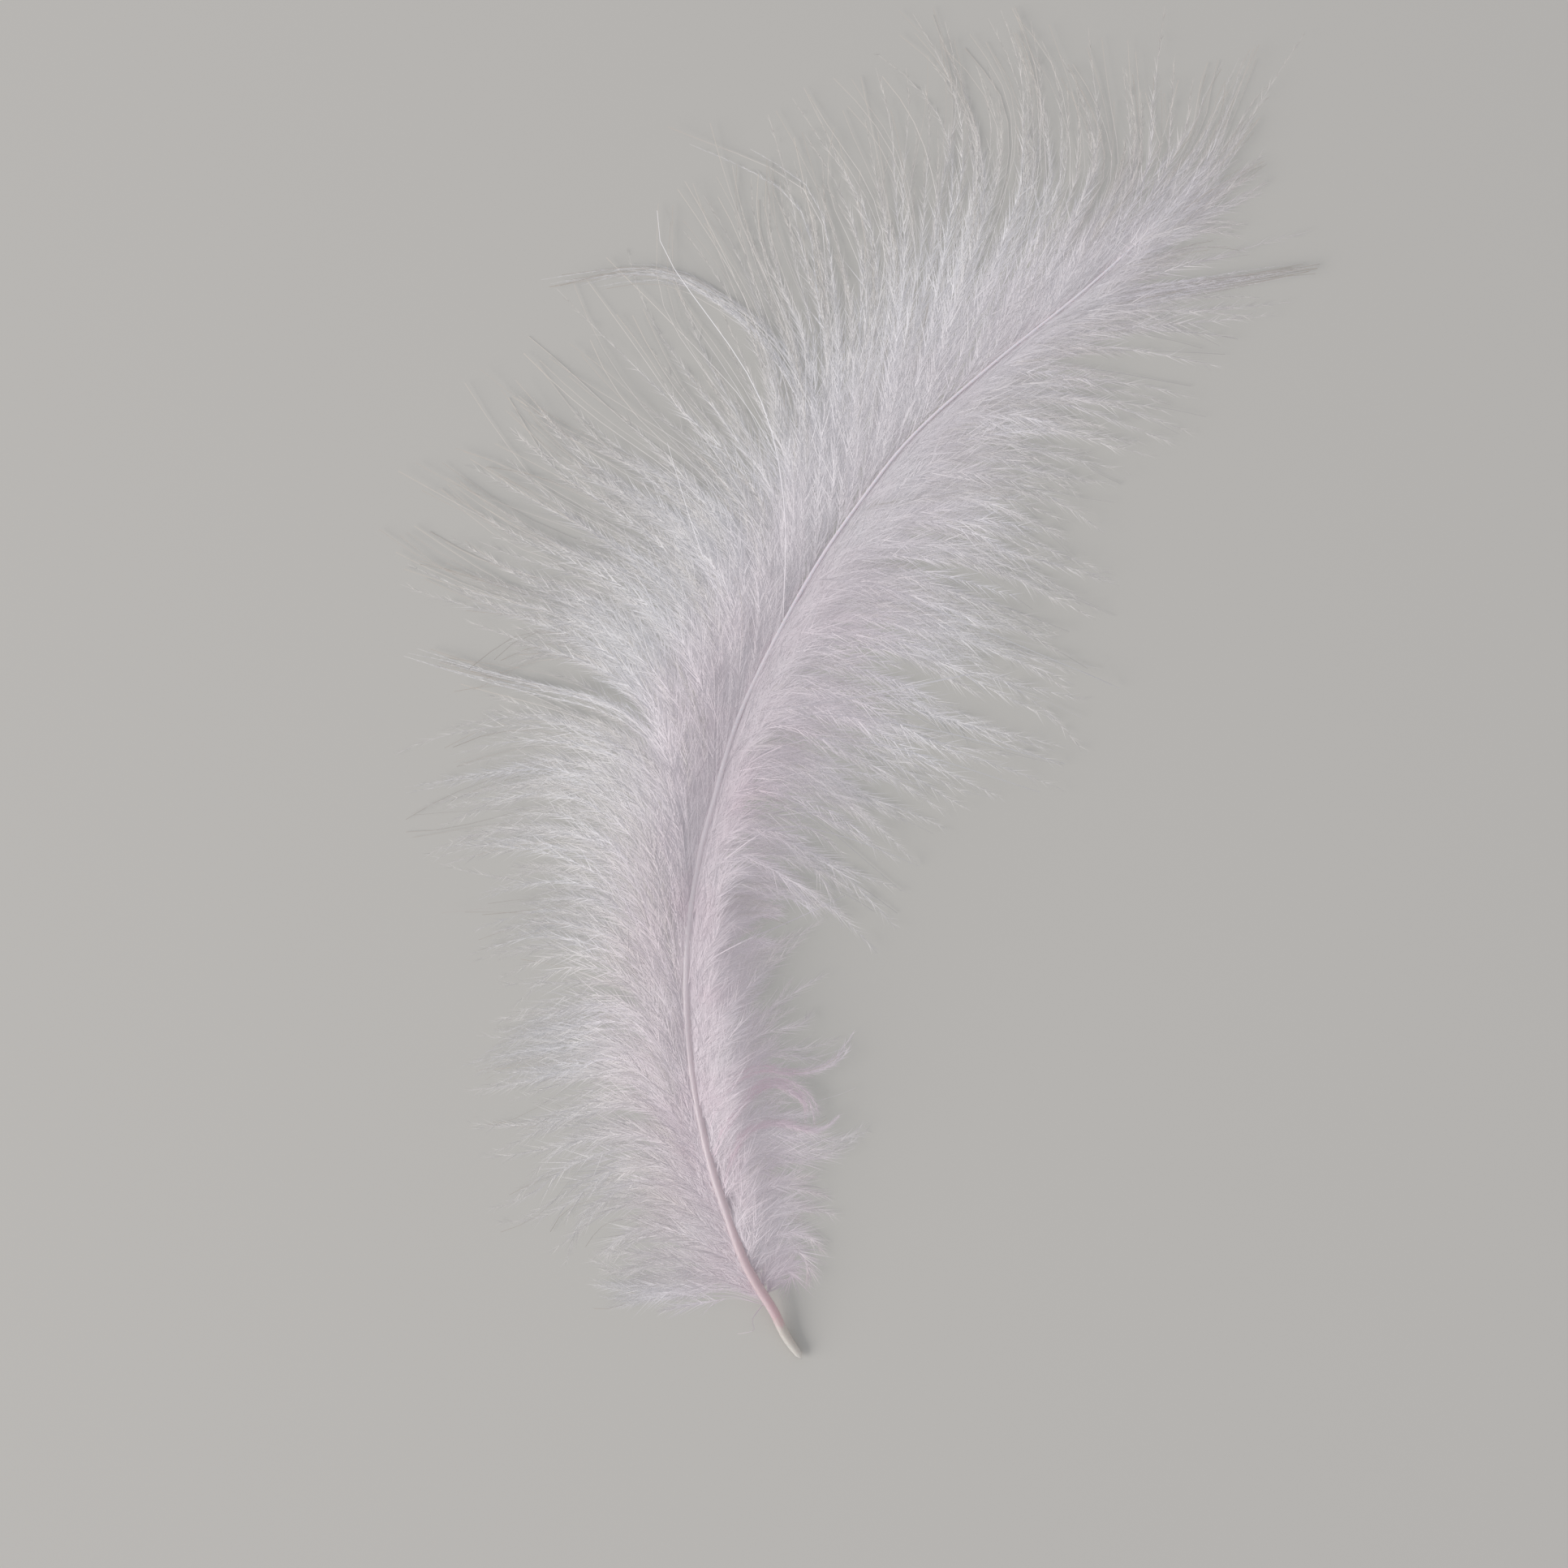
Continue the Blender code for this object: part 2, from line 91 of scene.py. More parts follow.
# A lock is its width, then its middle line in plan from the shaft to the barbs' tips. The two
# at the notch on the left are thinner than their solids, so that the notch shows.
LEFT_LOCKS = (
    (4.0, (-3.1, 5.3), (-6, 6.5), (-10.5, 6.5), (-15, 6), (-18.5, 6.5)),
    (5.0, (-3.9, 7.1), (-7.5, 10), (-12, 12), (-16, 12), (-20, 10)),
    (5.5, (-5.8, 10.8), (-9.5, 13.5), (-13.5, 15), (-17.5, 14.5), (-20, 13), (-22.5, 9.5)),
    (5.5, (-6.7, 13.4), (-10, 16.5), (-14.5, 17.5), (-18.5, 16), (-22, 13), (-26, 10.5)),
    (6.0, (-7.7, 16.9), (-11, 20.5), (-15, 22), (-20, 20.5), (-25, 19), (-30, 19)),
    (6.5, (-8.6, 20.2), (-11.5, 24.5), (-15.5, 27), (-21, 26.5), (-25, 26), (-29.5, 24.5)),
    (6.0, (-9.1, 23.4), (-12, 28.5), (-16.5, 30.5), (-21.5, 29.5), (-27, 28)),
    (6.5, (-9.6, 26.8), (-12.5, 33), (-17, 36.5), (-22.5, 37.5), (-29, 35.5)),
    (6.0, (-9.8, 30.1), (-13, 36.5), (-18, 40), (-24, 40), (-31.5, 38.5)),
    (6.5, (-9.8, 33.3), (-13, 40), (-17.5, 44), (-23, 45), (-28.5, 44.5), (-33, 42.5)),
    (6.0, (-9.8, 36.1), (-13, 43), (-17, 47), (-21.5, 48.5), (-28, 47.5), (-34.5, 46)),
    (6.0, (-9.6, 38.2), (-12, 45), (-15.5, 49.5), (-21, 51.5), (-27.5, 50.5), (-34.5, 48.5)),
    (6.0, (-9.5, 39.7), (-11.5, 46.5), (-14.5, 51.5), (-19.5, 53.5), (-26, 53.5), (-34.5, 50)),
    (1.5, (-9.0, 42.4), (-11, 49.5), (-14.5, 53.5), (-19, 55.5), (-24, 57.5), (-34.5, 61)),
    (1.0, (-8.6, 44.6), (-10.5, 51.5), (-13, 56.5), (-17, 59.5), (-21, 60.5), (-28.5, 58)),
    (5.0, (-7.9, 47.0), (-10.5, 54), (-13.5, 59.5), (-17.5, 62.5), (-27.5, 66.5), (-35.5, 69.5)),
    (5.0, (-7.3, 49.4), (-9.5, 56.5), (-13, 62.5), (-17.5, 66.5), (-27.5, 69.5), (-36.5, 75)),
    (4.0, (-6.2, 53.3), (-8, 60.5), (-11, 66), (-15.5, 69), (-24, 73), (-33.5, 79)),
    (4.0, (-5.5, 55.4), (-7, 62), (-10, 67.5), (-14, 71), (-19, 74), (-29.5, 78)),
    (5.0, (-4.2, 58.2), (-6, 64), (-8.5, 69), (-12, 72.5), (-20, 77), (-24, 81.5), (-28, 86)),
    (4.5, (-3.0, 60.7), (-4.5, 66.5), (-7, 72), (-11, 75.5), (-20, 80.5), (-27, 86.5)),
    (5.0, (-1.8, 62.9), (-3.5, 69), (-6, 74), (-9.5, 78), (-14.5, 82), (-24.5, 89.5)),
    (3.5, (-0.7, 65.0), (-2.5, 71), (-5, 76.5), (-8, 80.5), (-11, 84), (-18, 95)),
)
TOP_LOCKS = (
    (3.5, (0.3, 66.9), (-1.5, 73.5), (-4, 79), (-7, 84), (-11.5, 92), (-12, 100)),
    (5.0, (1.5, 69.1), (0, 75.5), (-1.5, 82), (-3, 88), (-5.5, 93.5), (-11.5, 101.5)),
    (4.5, (2.4, 70.3), (-0.5, 84), (-3, 91), (-5, 96.5), (-9, 107)),
    (4.5, (3.8, 72.3), (1, 86), (-1.5, 93), (-3, 98.5), (-2.5, 104.5)),
    (5.0, (5.2, 74.4), (2.5, 88), (1, 95), (0, 102), (-2, 109.5)),
    (4.5, (6.8, 76.3), (4.5, 89.5), (3.5, 96), (2.5, 100.5), (3, 106.5)),
    (4.5, (8.2, 78.1), (7, 90), (7.5, 96.5), (6, 102), (3.5, 105.5), (0, 110.5)),
    (4.5, (9.6, 79.8), (8, 93), (7, 99.5), (5.5, 106.5), (4, 111.5)),
    (5.0, (11.4, 81.6), (11, 94.5), (11.5, 100.5), (13.5, 110.5), (12, 117.5)),
    (5.0, (13.5, 83.4), (14, 97), (15, 103.5), (14, 108), (11, 112.5), (7, 116)),
    (5.0, (15.7, 85.3), (16.5, 98), (18, 103.5), (17.5, 108.5), (15, 112.5), (12.5, 116)),
    (5.0, (17.7, 87.0), (19, 99.5), (19.5, 105), (19, 111.5), (17, 117.5)),
    (5.0, (19.8, 88.6), (21.5, 100), (22, 105.5), (21, 111.5), (18, 116.5)),
    (4.5, (21.9, 90.3), (24, 100.5), (25, 105), (24, 109), (22, 113.5)),
    (4.5, (24.0, 92.1), (27, 101), (27.5, 105.5), (26.5, 112.5)),
    (4.0, (25.9, 93.7), (28.5, 102), (29, 108.5), (29, 117.5)),
    (4.5, (27.6, 95.3), (30.5, 103), (31, 107), (31, 111.5)),
    (4.0, (29.0, 96.6), (33.5, 105), (35, 109), (36.5, 112.5)),
    (3.5, (30.6, 98.1), (34, 102.5), (37, 108.5), (39.5, 114)),
)
# A wisp in the notch on the left, and two locks of the crown, that lie apart from the others.
LOOSE_LOCKS = (
    (1.4, (-9.2, 41.8), (-11.0, 50.0), (-14.0, 55.0), (-19, 57.3), (-24, 58.5), (-35.0, 61.8)),
    (4.0, (3.1, 71.4), (2, 78), (-2.5, 87.5), (-9.5, 93), (-14, 94), (-19.5, 93), (-23, 92.5)),
    (4.0, (4.4, 73.2), (2, 86.5), (1.5, 93), (0.5, 99), (-3, 102), (-12, 106)),
)
# These have five short ones that the solid hasn't, rooted 21 to 35 mm up the feather.
RIGHT_LOCKS = (
    (3.0, (30.0, 97.5), (34, 101), (37.5, 105), (39.5, 107.5)),
    (3.5, (29.8, 97.4), (33, 98.5), (35.5, 100.5), (40.5, 103.5)),
    (4.0, (22.6, 90.9), (27, 94), (31, 95.5), (35, 96.5), (38, 96.5)),
    (4.5, (16.5, 86.0), (21, 89.5), (27, 91.5), (32.5, 92.5), (39, 93.5), (45, 94.5)),
    (6.0, (13.1, 83.3), (17.5, 86.5), (22.5, 88.5), (28.5, 89.5), (37.5, 90)),
    (6.0, (11.0, 81.2), (15.5, 84.5), (20.5, 86.5), (26, 87.5), (37.5, 86.5)),
    (6.0, (8.9, 79.1), (13, 82.5), (17.5, 84.5), (23.5, 84.5), (29.5, 84), (37, 82)),
    (6.0, (6.3, 75.9), (9.5, 79), (14, 81), (20, 81), (31, 78)),
    (5.5, (4.1, 72.8), (7.5, 75.5), (12, 77.5), (17.5, 78), (28.5, 75.5)),
    (5.5, (2.8, 70.9), (6, 73.5), (11, 75.5), (17, 75.5), (23.5, 73.5), (31, 69.5)),
    (5.5, (1.7, 69.1), (4.5, 72), (9.5, 73.5), (15, 73), (25.5, 67.5)),
    (5.5, (0.1, 66.4), (3, 69), (7.5, 70.5), (13.5, 70), (19, 68), (27.5, 64)),
    (5.5, (-1.1, 64.0), (1.5, 67), (6, 68), (11.5, 67), (22, 62.5)),
    (5.5, (-2.5, 61.7), (0.5, 64.5), (5, 65.5), (11.5, 64.5), (23.5, 60.5), (28.5, 57.5)),
    (5.5, (-4.1, 58.4), (-1.5, 61), (2.5, 62.5), (8.5, 61.5), (15, 58.5), (26, 54.5)),
    (5.0, (-4.9, 56.6), (-2.5, 59.5), (1.5, 60.5), (7.5, 59), (14, 56), (24.5, 52.5)),
    (5.0, (-5.6, 54.7), (-3.5, 57.5), (0.5, 58.5), (6, 57), (12, 54), (23.5, 51)),
    (5.0, (-6.2, 52.6), (-4.5, 55.5), (-0.5, 56.5), (5, 55), (10.5, 52), (22, 49)),
    (5.0, (-6.9, 50.5), (-5, 53), (-2, 54.5), (3.5, 53), (8, 51), (15, 46)),
    (5.0, (-7.6, 48.2), (-6, 51), (-3, 52.5), (1.5, 51.5), (6.5, 48.5), (14.5, 44.5)),
    (5.0, (-8.2, 46.0), (-6.5, 49), (-3.5, 50.5), (0.5, 49.5), (4.5, 47.5), (11.5, 43)),
    (5.0, (-8.9, 43.2), (-7.5, 46), (-5, 47.5), (-1.5, 47), (3, 45), (10.5, 38.5)),
    (5.0, (-9.3, 40.3), (-8, 43), (-5.5, 44.5), (-2.5, 44), (1, 42), (8.5, 37.5)),
    (5.0, (-9.7, 37.1), (-8.5, 40), (-6.5, 41.5), (-3.5, 41.5), (0, 40.5), (5.5, 37.5)),
    (4.5, (-9.8, 34.8), (-9.0, 38.0), (-7.2, 39.8), (-4.5, 40.2), (0.5, 38.8)),
    (4.5, (-9.9, 31.8), (-9.4, 35.0), (-7.9, 37.4), (-5.3, 38.8), (-1.5, 39.0)),
    (4.5, (-9.8, 29.0), (-9.5, 32), (-8, 34.5), (-6, 37), (-3, 38.5)),
    (4.5, (-9.7, 27.8), (-8.0, 31.0), (-5.8, 33.4), (-3.2, 34.8)),
    (3.5, (-9.6, 26.2), (-8.5, 29.5), (-6, 33.5), (-3, 35.5), (4, 40)),
    (4.5, (-9.3, 24.4), (-7.5, 27.4), (-5.2, 29.8), (-2.8, 31.2)),
    (4.0, (-9.0, 22.7), (-7.5, 26.5), (-5, 30.5), (-2.5, 33.5), (0, 38)),
    (4.5, (-8.7, 21.0), (-6.9, 24.2), (-4.7, 26.8), (-2.4, 28.4)),
    (4.5, (-8.4, 19.5), (-7, 23), (-5, 26), (-2.5, 28.5), (3.5, 33.5)),
    (4.5, (-7.8, 17.1), (-7, 20.5), (-5.5, 23.5), (-2.5, 25), (1, 24.5), (4, 26)),
    (5.0, (-7.2, 15.0), (-6, 18), (-4.5, 19.5), (-2, 20), (1, 20), (4, 21.5)),
    (5.5, (-6.4, 12.5), (-5.5, 15.5), (-3.5, 17), (0, 17.5), (3, 18.5), (6, 20)),
    (5.5, (-5.6, 10.4), (-4.5, 13), (-2.5, 15), (0, 15), (2.5, 14)),
    (5.0, (-4.8, 8.3), (-3.5, 10.5), (-2, 11.5), (0, 11.5), (2.5, 9.5)),
    (4.5, (-3.4, 5.7), (-2.5, 8), (-1, 9), (0.5, 8), (1, 6)),
)

# Fans of barbs that stand out silvery where the left side turns away from the shaft: raised
# into the light, and with a painted sheen, as their fibres are drawn lighter.
FANS = (
    (2.0, (-9.9, 33.0), (-12.0, 38.0), (-13.2, 41.5), (-15.5, 44.5), (-18.5, 46.0)),
    (2.0, (-9.6, 38.0), (-11.2, 43.5), (-12.0, 48.0), (-14.0, 51.5), (-17.5, 53.5)),
    (2.5, (-8.9, 43.0), (-11.3, 50.1), (-12.2, 56.2), (-15.2, 60.0), (-20.2, 62.8)),
    (2.5, (-8.7, 44.0), (-11.0, 51.5), (-12.4, 56.9), (-14.6, 59.2), (-17.8, 60.0)),
    (2.0, (-7.9, 47.0), (-9.0, 56.5), (-10.4, 62.1), (-12.2, 64.9), (-14.6, 65.6)),
    (2.0, (-6.7, 51.0), (-7.2, 61.4), (-9.8, 65.7), (-11.7, 67.9), (-15.3, 70.0)),
    (2.0, (-5.5, 55.5), (-4.4, 62.8), (-5.0, 65.5), (-6.5, 68.3), (-8.6, 72.6)),
    (2.0, (-2.6, 61.5), (-0.2, 71.9), (-1.6, 75.4), (-3.4, 78.9), (-4.4, 81.8)),
    (2.0, (-0.4, 66.0), (3.0, 71.9), (2.2, 75.4), (1.5, 80.4), (1.0, 83.9)),
)

# Barbs that fold over beside the shaft, where the right side's long arches begin.
FOLDS = (
    (3.0, (-9.7, 27.0), (-8.4, 30.6), (-6.5, 33.6), (-4.2, 35.6), (-1.8, 36.2)),
    (3.0, (-9.8, 29.6), (-8.7, 33.4), (-6.8, 36.3), (-4.2, 38.0), (-1.0, 38.0)),
    (3.0, (-9.9, 32.2), (-8.9, 36.0), (-6.9, 38.8), (-4.0, 40.2), (-0.4, 39.8)),
)

# Single thin barbs that lie straight across the others.
STRAIGHT_BARBS = (
    (0.3, (-8.4, 45.0), (-9.0, 54.3), (-6.9, 67.0), (-4.9, 74.6)),
    (0.3, (-7.9, 47.0), (-7.6, 57.2), (-5.8, 64.2), (-3.0, 74.0)),
    (0.3, (-8.2, 46.0), (-9.8, 55.0), (-9.4, 64.0), (-8.0, 72.0)),
    (0.3, (-7.0, 50.0), (-6.6, 58.0), (-3.6, 67.0), (-2.6, 72.5)),
    (0.3, (-5.0, 56.0), (-6.8, 64.0), (-9.6, 72.0), (-12.0, 80.0)),
    (0.3, (-1.5, 63.5), (-1.5, 74.0), (-4.0, 84.0), (-12.0, 96.2), (-11.8, 101.0)),
    (0.3, (-3.0, 5.2), (-4.2, 3.6), (-4.1, 2.6), (-5.6, 2.2)),
)

# And on the right side.
STRAIGHT_BARBS_RIGHT = (
    (0.3, (3.0, 71.2), (10.0, 71.0), (20.0, 67.7), (27.0, 64.7)),
    (0.3, (0.5, 67.2), (6.5, 66.8), (12.5, 64.2), (28.4, 57.8)),
    (0.3, (-5.2, 55.6), (4.4, 57.1), (15.7, 59.4)),
    (0.3, (-6.2, 52.7), (0.0, 55.6), (10.8, 54.5), (22.8, 51.5)),
    (0.3, (-7.1, 49.8), (-1.0, 53.2), (6.2, 53.2), (21.7, 48.8)),
    (0.3, (-9.2, 41.0), (-2.7, 45.8), (3.5, 45.0), (10.0, 42.3)),
    (0.3, (-9.8, 33.5), (-5.2, 36.2), (-0.6, 37.9), (4.4, 40.1)),
)

# Curled barbs low on the right, the first of them the deepest pink.
CURLS = (
    (1.6, (-7.0, 14.4), (-6.0, 17.4), (-4.9, 19.7), (-2.0, 20.4), (1.4, 19.8), (4.0, 21.7)),
    (1.4, (-7.9, 17.4), (-6.6, 20.4), (-4.9, 22.6), (-2.6, 23.9), (0.2, 22.4), (0.6, 20.3)),
    (1.2, (-8.4, 19.5), (-6.8, 23.4), (-4.0, 25.4), (-0.6, 25.0), (2.6, 25.9), (4.6, 28.4)),
)

# The lowest plan point that the solid reaches: the frame's box is set against it.
PLAN_LOW = (-36.594, -0.156)
SHAFT_BARE = 4.6             # the quill is bare below this distance up the feather,
SHAFT_LOST = 96.0            # and the down closes over the shaft above this one

# How a lock runs from the shaft down to the surface. Heights and distances are millimetres.
LINE_POINTS = 15             # points on the line of a lock or a barb
LINE_PLACES = np.linspace(0, 1, LINE_POINTS)[None, :]
READING_STEPS = 24           # fine steps from row to row when a curve's length is measured
LOCK_CROWN = 0.17            # a lock's barbs lie up to this part of its width above its middle,
LOCK_KEEL = 0.22             # and up to this part below it
LOCK_FULLEST = 0.45          # the share of its length at which a lock is widest
LOCK_ROOT_SHARE = 0.42       # its width at the shaft, as a share of its full width
LOCK_BLUNTNESS = 0.8         # at 1 its sides close to the tip in straight lines, below 1 they bulge
SLIDE_MOST = 0.2             # a root slides down by at most this part of its way to the bare quill
ROOT_DROP = 0.12             # a lock's middle starts this far below the shaft's middle
ARCH_FOOT = 1.2              # below this height of the shaft a lock doesn't stand up from it
ARCH_RISE = 0.60             # above it, a lock rises by this part of what is over it
DROOP_LEAST = 0.40           # share of a lock's length over which it comes down to the surface,
DROOP_PER_MM = 0.09          # and what each millimetre above the arch's foot adds to it
REST_HEIGHT = 0.35           # height of a lock's middle where it lies on the surface
FLOOR_GAP = 0.03             # nothing lies closer to the surface than this
EDGE_ROOM = 1.5              # a fibre may pass the solid's box sideways by this much

# The shaft stays bare on top, in a shallow dish of down.
BARE_SHARE = 0.45            # up to this part of its radius from the shaft's middle line,
BARE_MIDDLE = 0.3            # a fibre may lie this part of the radius above the shaft's middle,
BARE_EDGE = 1.1              # and further out this part
DISH_SLOPE = 0.45            # how far the limit rises for each millimetre away from the shaft,
DISH_WIDTH = 3.5             # with one millimetre more for each that is past this distance
DISH_DEPTH = 0.5             # a barbule's limit is lower by up to this,
BARB_DEPTH = (0.1, 0.8)      # and a barb's by between these

DYE_WIDTH_LEFT = 7.5         # sideways distance at which a third of the pink is left,
DYE_WIDTH_RIGHT = 11.0       # on each side of the shaft
DYE_EDGE = 3                 # the higher, the sharper the pink's edge
DYE_FADE = 50.0              # the pink starts to fade this far up the feather,
DYE_TOP = 80.0               # and has faded here
DYE_CROWN = 0.35             # to this part of its strength
DYE_SHARE = 0.7              # of the deepest pink, which only the curls have
# Painted shade: down beside the shaft has its colour darkened in a band, for how the barbs lie
# there to the light.
SHADE_BAND_WIDTH_LEFT = 5.0        # beside the shaft the barbs lie flat and close, edge-on to the
SHADE_BAND_WIDTH_RIGHT = 4.0       # light, and look duller: this far out
SHADE_BAND_SHARE_LEFT = (0.09, 0.10)      # and by this much, low on the feather and in its crown
SHADE_BAND_SHARE_RIGHT = (0.06, 0.06)
SHADE_BAND_TURN = (40.0, 70.0)            # between these distances up the feather the share changes

UP = np.array((0.0, 0.0, 1.0))
LEAST_LENGTH = 1e-9          # a vector's length counts as this at least, so none divides by zero
LEAN_REACH = 0.5             # how far up and down the shaft its lean is read


def smooth_rows(rows, places):
    """Rows on a Catmull-Rom cubic: its slope at a row is half the step between its neighbours."""
    rows = np.array(rows, dtype=float)
    ends = np.vstack((2 * rows[0] - rows[1], rows, 2 * rows[-1] - rows[-2]))
    first = np.clip(np.floor(places).astype(int), 0, len(rows) - 2)
    t = (places - first)[:, None]
    before, here, there, after = (ends[first + k] for k in range(4))
    bend = 2 * before - 5 * here + 4 * there - after
    twist = 3 * here - before - 3 * there + after
    return 0.5 * (2 * here + (there - before) * t + bend * t ** 2 + twist * t ** 3)


def even_rows(rows, count):
    """Rows at equal steps of plan length along the smooth curve through the given rows."""
    fine = smooth_rows(rows, np.linspace(0, len(rows) - 1, READING_STEPS * len(rows)))
    steps = np.linalg.norm(np.diff(fine[:, :2], axis=0), axis=1)
    run = np.concatenate(([0.0], np.cumsum(steps)))
    wanted = np.linspace(0, run[-1], count)
    return np.stack([np.interp(wanted, run, column) for column in fine.T], axis=1)


SHAFT_RINGS = 220
SHAFT_LINE = even_rows(SHAFT, SHAFT_RINGS)


def on_shaft(y, column):
    """One of the shaft's values, read at a distance up the feather."""
    return np.interp(y, SHAFT_LINE[:, 1], SHAFT_LINE[:, column])


def slid_root(lock, slide):
    """A lock's plan points, rooted lower on the shaft, so that it first runs along the shaft."""
    root = lock[1]
    slide = min(slide, SLIDE_MOST * (root[1] - SHAFT_BARE))
    y = root[1] - slide
    return ((on_shaft(y, 0), y), *lock[2:])


def lock_lines(locks, slide):
    """The locks' middle lines, (lock, point, xyz), and their widths at each point.

    Height falls from the shaft's to the rest height as half a cosine wave, with a sine arch
    added where the shaft stands high. Width grows as a sine to the fullest place, and then
    closes in a blunt curve.
    """
    plan = np.stack([even_rows(slid_root(lock, slide), LINE_POINTS) for lock in locks])
    t = LINE_PLACES
    start = on_shaft(plan[:, 0, 1], 2)[:, None] - ROOT_DROP
    lift = np.maximum(0, start - ARCH_FOOT)
    turn = math.pi * np.clip(t / (DROOP_LEAST + DROOP_PER_MM * lift), 0, 1)
    height = REST_HEIGHT + (start - REST_HEIGHT) * (0.5 + 0.5 * np.cos(turn))
    height = height + ARCH_RISE * lift * np.sin(turn)
    growing = LOCK_ROOT_SHARE + (1 - LOCK_ROOT_SHARE) * np.sin(0.5 * math.pi * t / LOCK_FULLEST)
    closing = np.clip((1 - t) / (1 - LOCK_FULLEST), 0, 1) ** LOCK_BLUNTNESS
    width = np.array([lock[0] for lock in locks])[:, None]
    width = width * np.where(t < LOCK_FULLEST, growing, closing)
    return np.concatenate((plan, height[:, :, None]), axis=2), width


def unit(vectors):
    """Each vector divided by its length."""
    return vectors / np.maximum(np.linalg.norm(vectors, axis=-1, keepdims=True), LEAST_LENGTH)


def line_frames(lines):
    """Along, side and upright directions at each point of many lines, (line, point, xyz).

    Side is straight up crossed with along, and upright is along crossed with side.
    """
    along = unit(np.gradient(lines, axis=-2))
    side = unit(np.cross(UP, along))
    upright = np.cross(along, side)
    return along, side, upright


def read_lines(values, row, place):
    """Values of many lines at places counted from 0 to 1 along them, straight between points."""
    last = values.shape[1] - 1
    at = np.clip(place, 0, 1) * last
    low = np.minimum(at.astype(int), last - 1)
    part = (at - low)[..., None]
    return values[row, low] * (1 - part) + values[row, low + 1] * part


def shaft_distance(points):
    """How far points lie from the shaft's middle line in plan.

    That is the step to it along X, divided by the square root of one plus the square of the
    shaft's lean there. Past the shaft's upper end the distance beyond the end counts too.
    """
    y = points[..., 1]
    across = points[..., 0] - on_shaft(y, 0)
    lean = (on_shaft(y + LEAN_REACH, 0) - on_shaft(y - LEAN_REACH, 0)) / (2 * LEAN_REACH)
    past = np.maximum(y - SHAFT[-1, 1], 0)
    return np.hypot(across / np.sqrt(1 + lean ** 2), past)


def fold_to_side(points, hand):
    """Mirror in the shaft's line whatever lies on its wrong side, so that nothing crosses it."""
    x = on_shaft(points[..., 1], 0)
    folded = x + hand * np.abs(points[..., 0] - x)
    beside_shaft = points[..., 1] < SHAFT_LOST
    points[..., 0] = np.where(beside_shaft, folded, points[..., 0])
    return points


def keep_off_shaft(points, depth):
    """Lower whatever passes over the shaft, so that it stays bare on top.

    Over the middle of the shaft the limit is a little above the shaft's own middle. Over its
    edges it is just above the shaft's top, and from there it rises in two straight slopes. It
    is lower than that by a fibre's depth. Above SHAFT_LOST it rises by as much as a point is
    further up the feather.
    """
    height = on_shaft(points[..., 1], 2)
    radius = on_shaft(points[..., 1], 3) / 2
    away = shaft_distance(points)
    bare = np.where(away < BARE_SHARE * radius, BARE_MIDDLE, BARE_EDGE) * radius
    dish = DISH_SLOPE * away + np.maximum(away - DISH_WIDTH, 0) - depth
    dish = dish + np.maximum(points[..., 1] - SHAFT_LOST, 0)
    points[..., 2] = np.minimum(points[..., 2], height + bare + dish)
    return points


def dye_strength(points):
    """How pink the down is: strongest by the lower shaft, fading sideways and up the feather.

    Sideways it is e to minus a power, DYE_EDGE, of the distance over the width. Up the feather
    it eases from full to DYE_CROWN.
    """
    on_right = points[..., 0] > on_shaft(points[..., 1], 0)
    width = np.where(on_right, DYE_WIDTH_RIGHT, DYE_WIDTH_LEFT)
    sideways = np.exp(-(shaft_distance(points) / width) ** DYE_EDGE)
    upwards = np.clip((DYE_TOP - points[..., 1]) / (DYE_TOP - DYE_FADE), 0, 1)
    upwards = upwards * upwards * (3 - 2 * upwards)
    return sideways * (DYE_CROWN + (1 - DYE_CROWN) * upwards)


def painted_shade_band(points):
    """Painted shade on the down: a bell-shaped darker band along each side of the shaft."""
    on_right = points[..., 0] > on_shaft(points[..., 1], 0)
    width = np.where(on_right, SHADE_BAND_WIDTH_RIGHT, SHADE_BAND_WIDTH_LEFT)
    right_share = np.interp(points[..., 1], SHADE_BAND_TURN, SHADE_BAND_SHARE_RIGHT)
    left_share = np.interp(points[..., 1], SHADE_BAND_TURN, SHADE_BAND_SHARE_LEFT)
    share = np.where(on_right, right_share, left_share)
    return 1 - share * np.exp(-(shaft_distance(points) / width) ** 2)


# ---------------------------------------------------------------- meshes


def to_frame(points):
    """Plan millimetres to the frame's metres, kept within the solid's height and near its sides."""
    moved = np.empty_like(points)
    for axis in (0, 1):
        placed = (points[..., axis] - PLAN_LOW[axis]) * MM + CAD_LOW[axis]
        lowest = CAD_LOW[axis] - EDGE_ROOM * MM
        moved[..., axis] = np.clip(placed, lowest, CAD_HIGH[axis] + EDGE_ROOM * MM)
    height = CAD_HIGH[2] - CAD_LOW[2]
    moved[..., 2] = np.clip(points[..., 2] * MM, FLOOR_GAP * MM, height) + CAD_LOW[2]
    return moved


def mesh_piece(name, points, faces, sizes, attributes, material, smooth=False):
    """A piece from arrays: points, the faces' corners in one row, and how many each face has."""
    mesh = bpy.data.meshes.new(name)
    mesh.vertices.add(len(points))
    mesh.vertices.foreach_set("co", to_frame(points).astype(np.float32).ravel())
    mesh.loops.add(len(faces))
    mesh.loops.foreach_set("vertex_index", faces.astype(np.int32))
    starts = np.concatenate(([0], np.cumsum(sizes)[:-1]))
    mesh.polygons.add(len(sizes))
    mesh.polygons.foreach_set("loop_start", starts.astype(np.int32))
    mesh.polygons.foreach_set("use_smooth", np.full(len(sizes), smooth))
    mesh.update(calc_edges=True)
    for key, values in attributes.items():
        layer = mesh.attributes.new(key, "FLOAT", "POINT")
        layer.data.foreach_set("value", values.astype(np.float32).ravel())
    mesh.materials.append(material)
    piece = bpy.data.objects.new(name, mesh)
    bpy.context.scene.collection.objects.link(piece)
    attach(piece, "root")
    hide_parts("feather")
    return piece


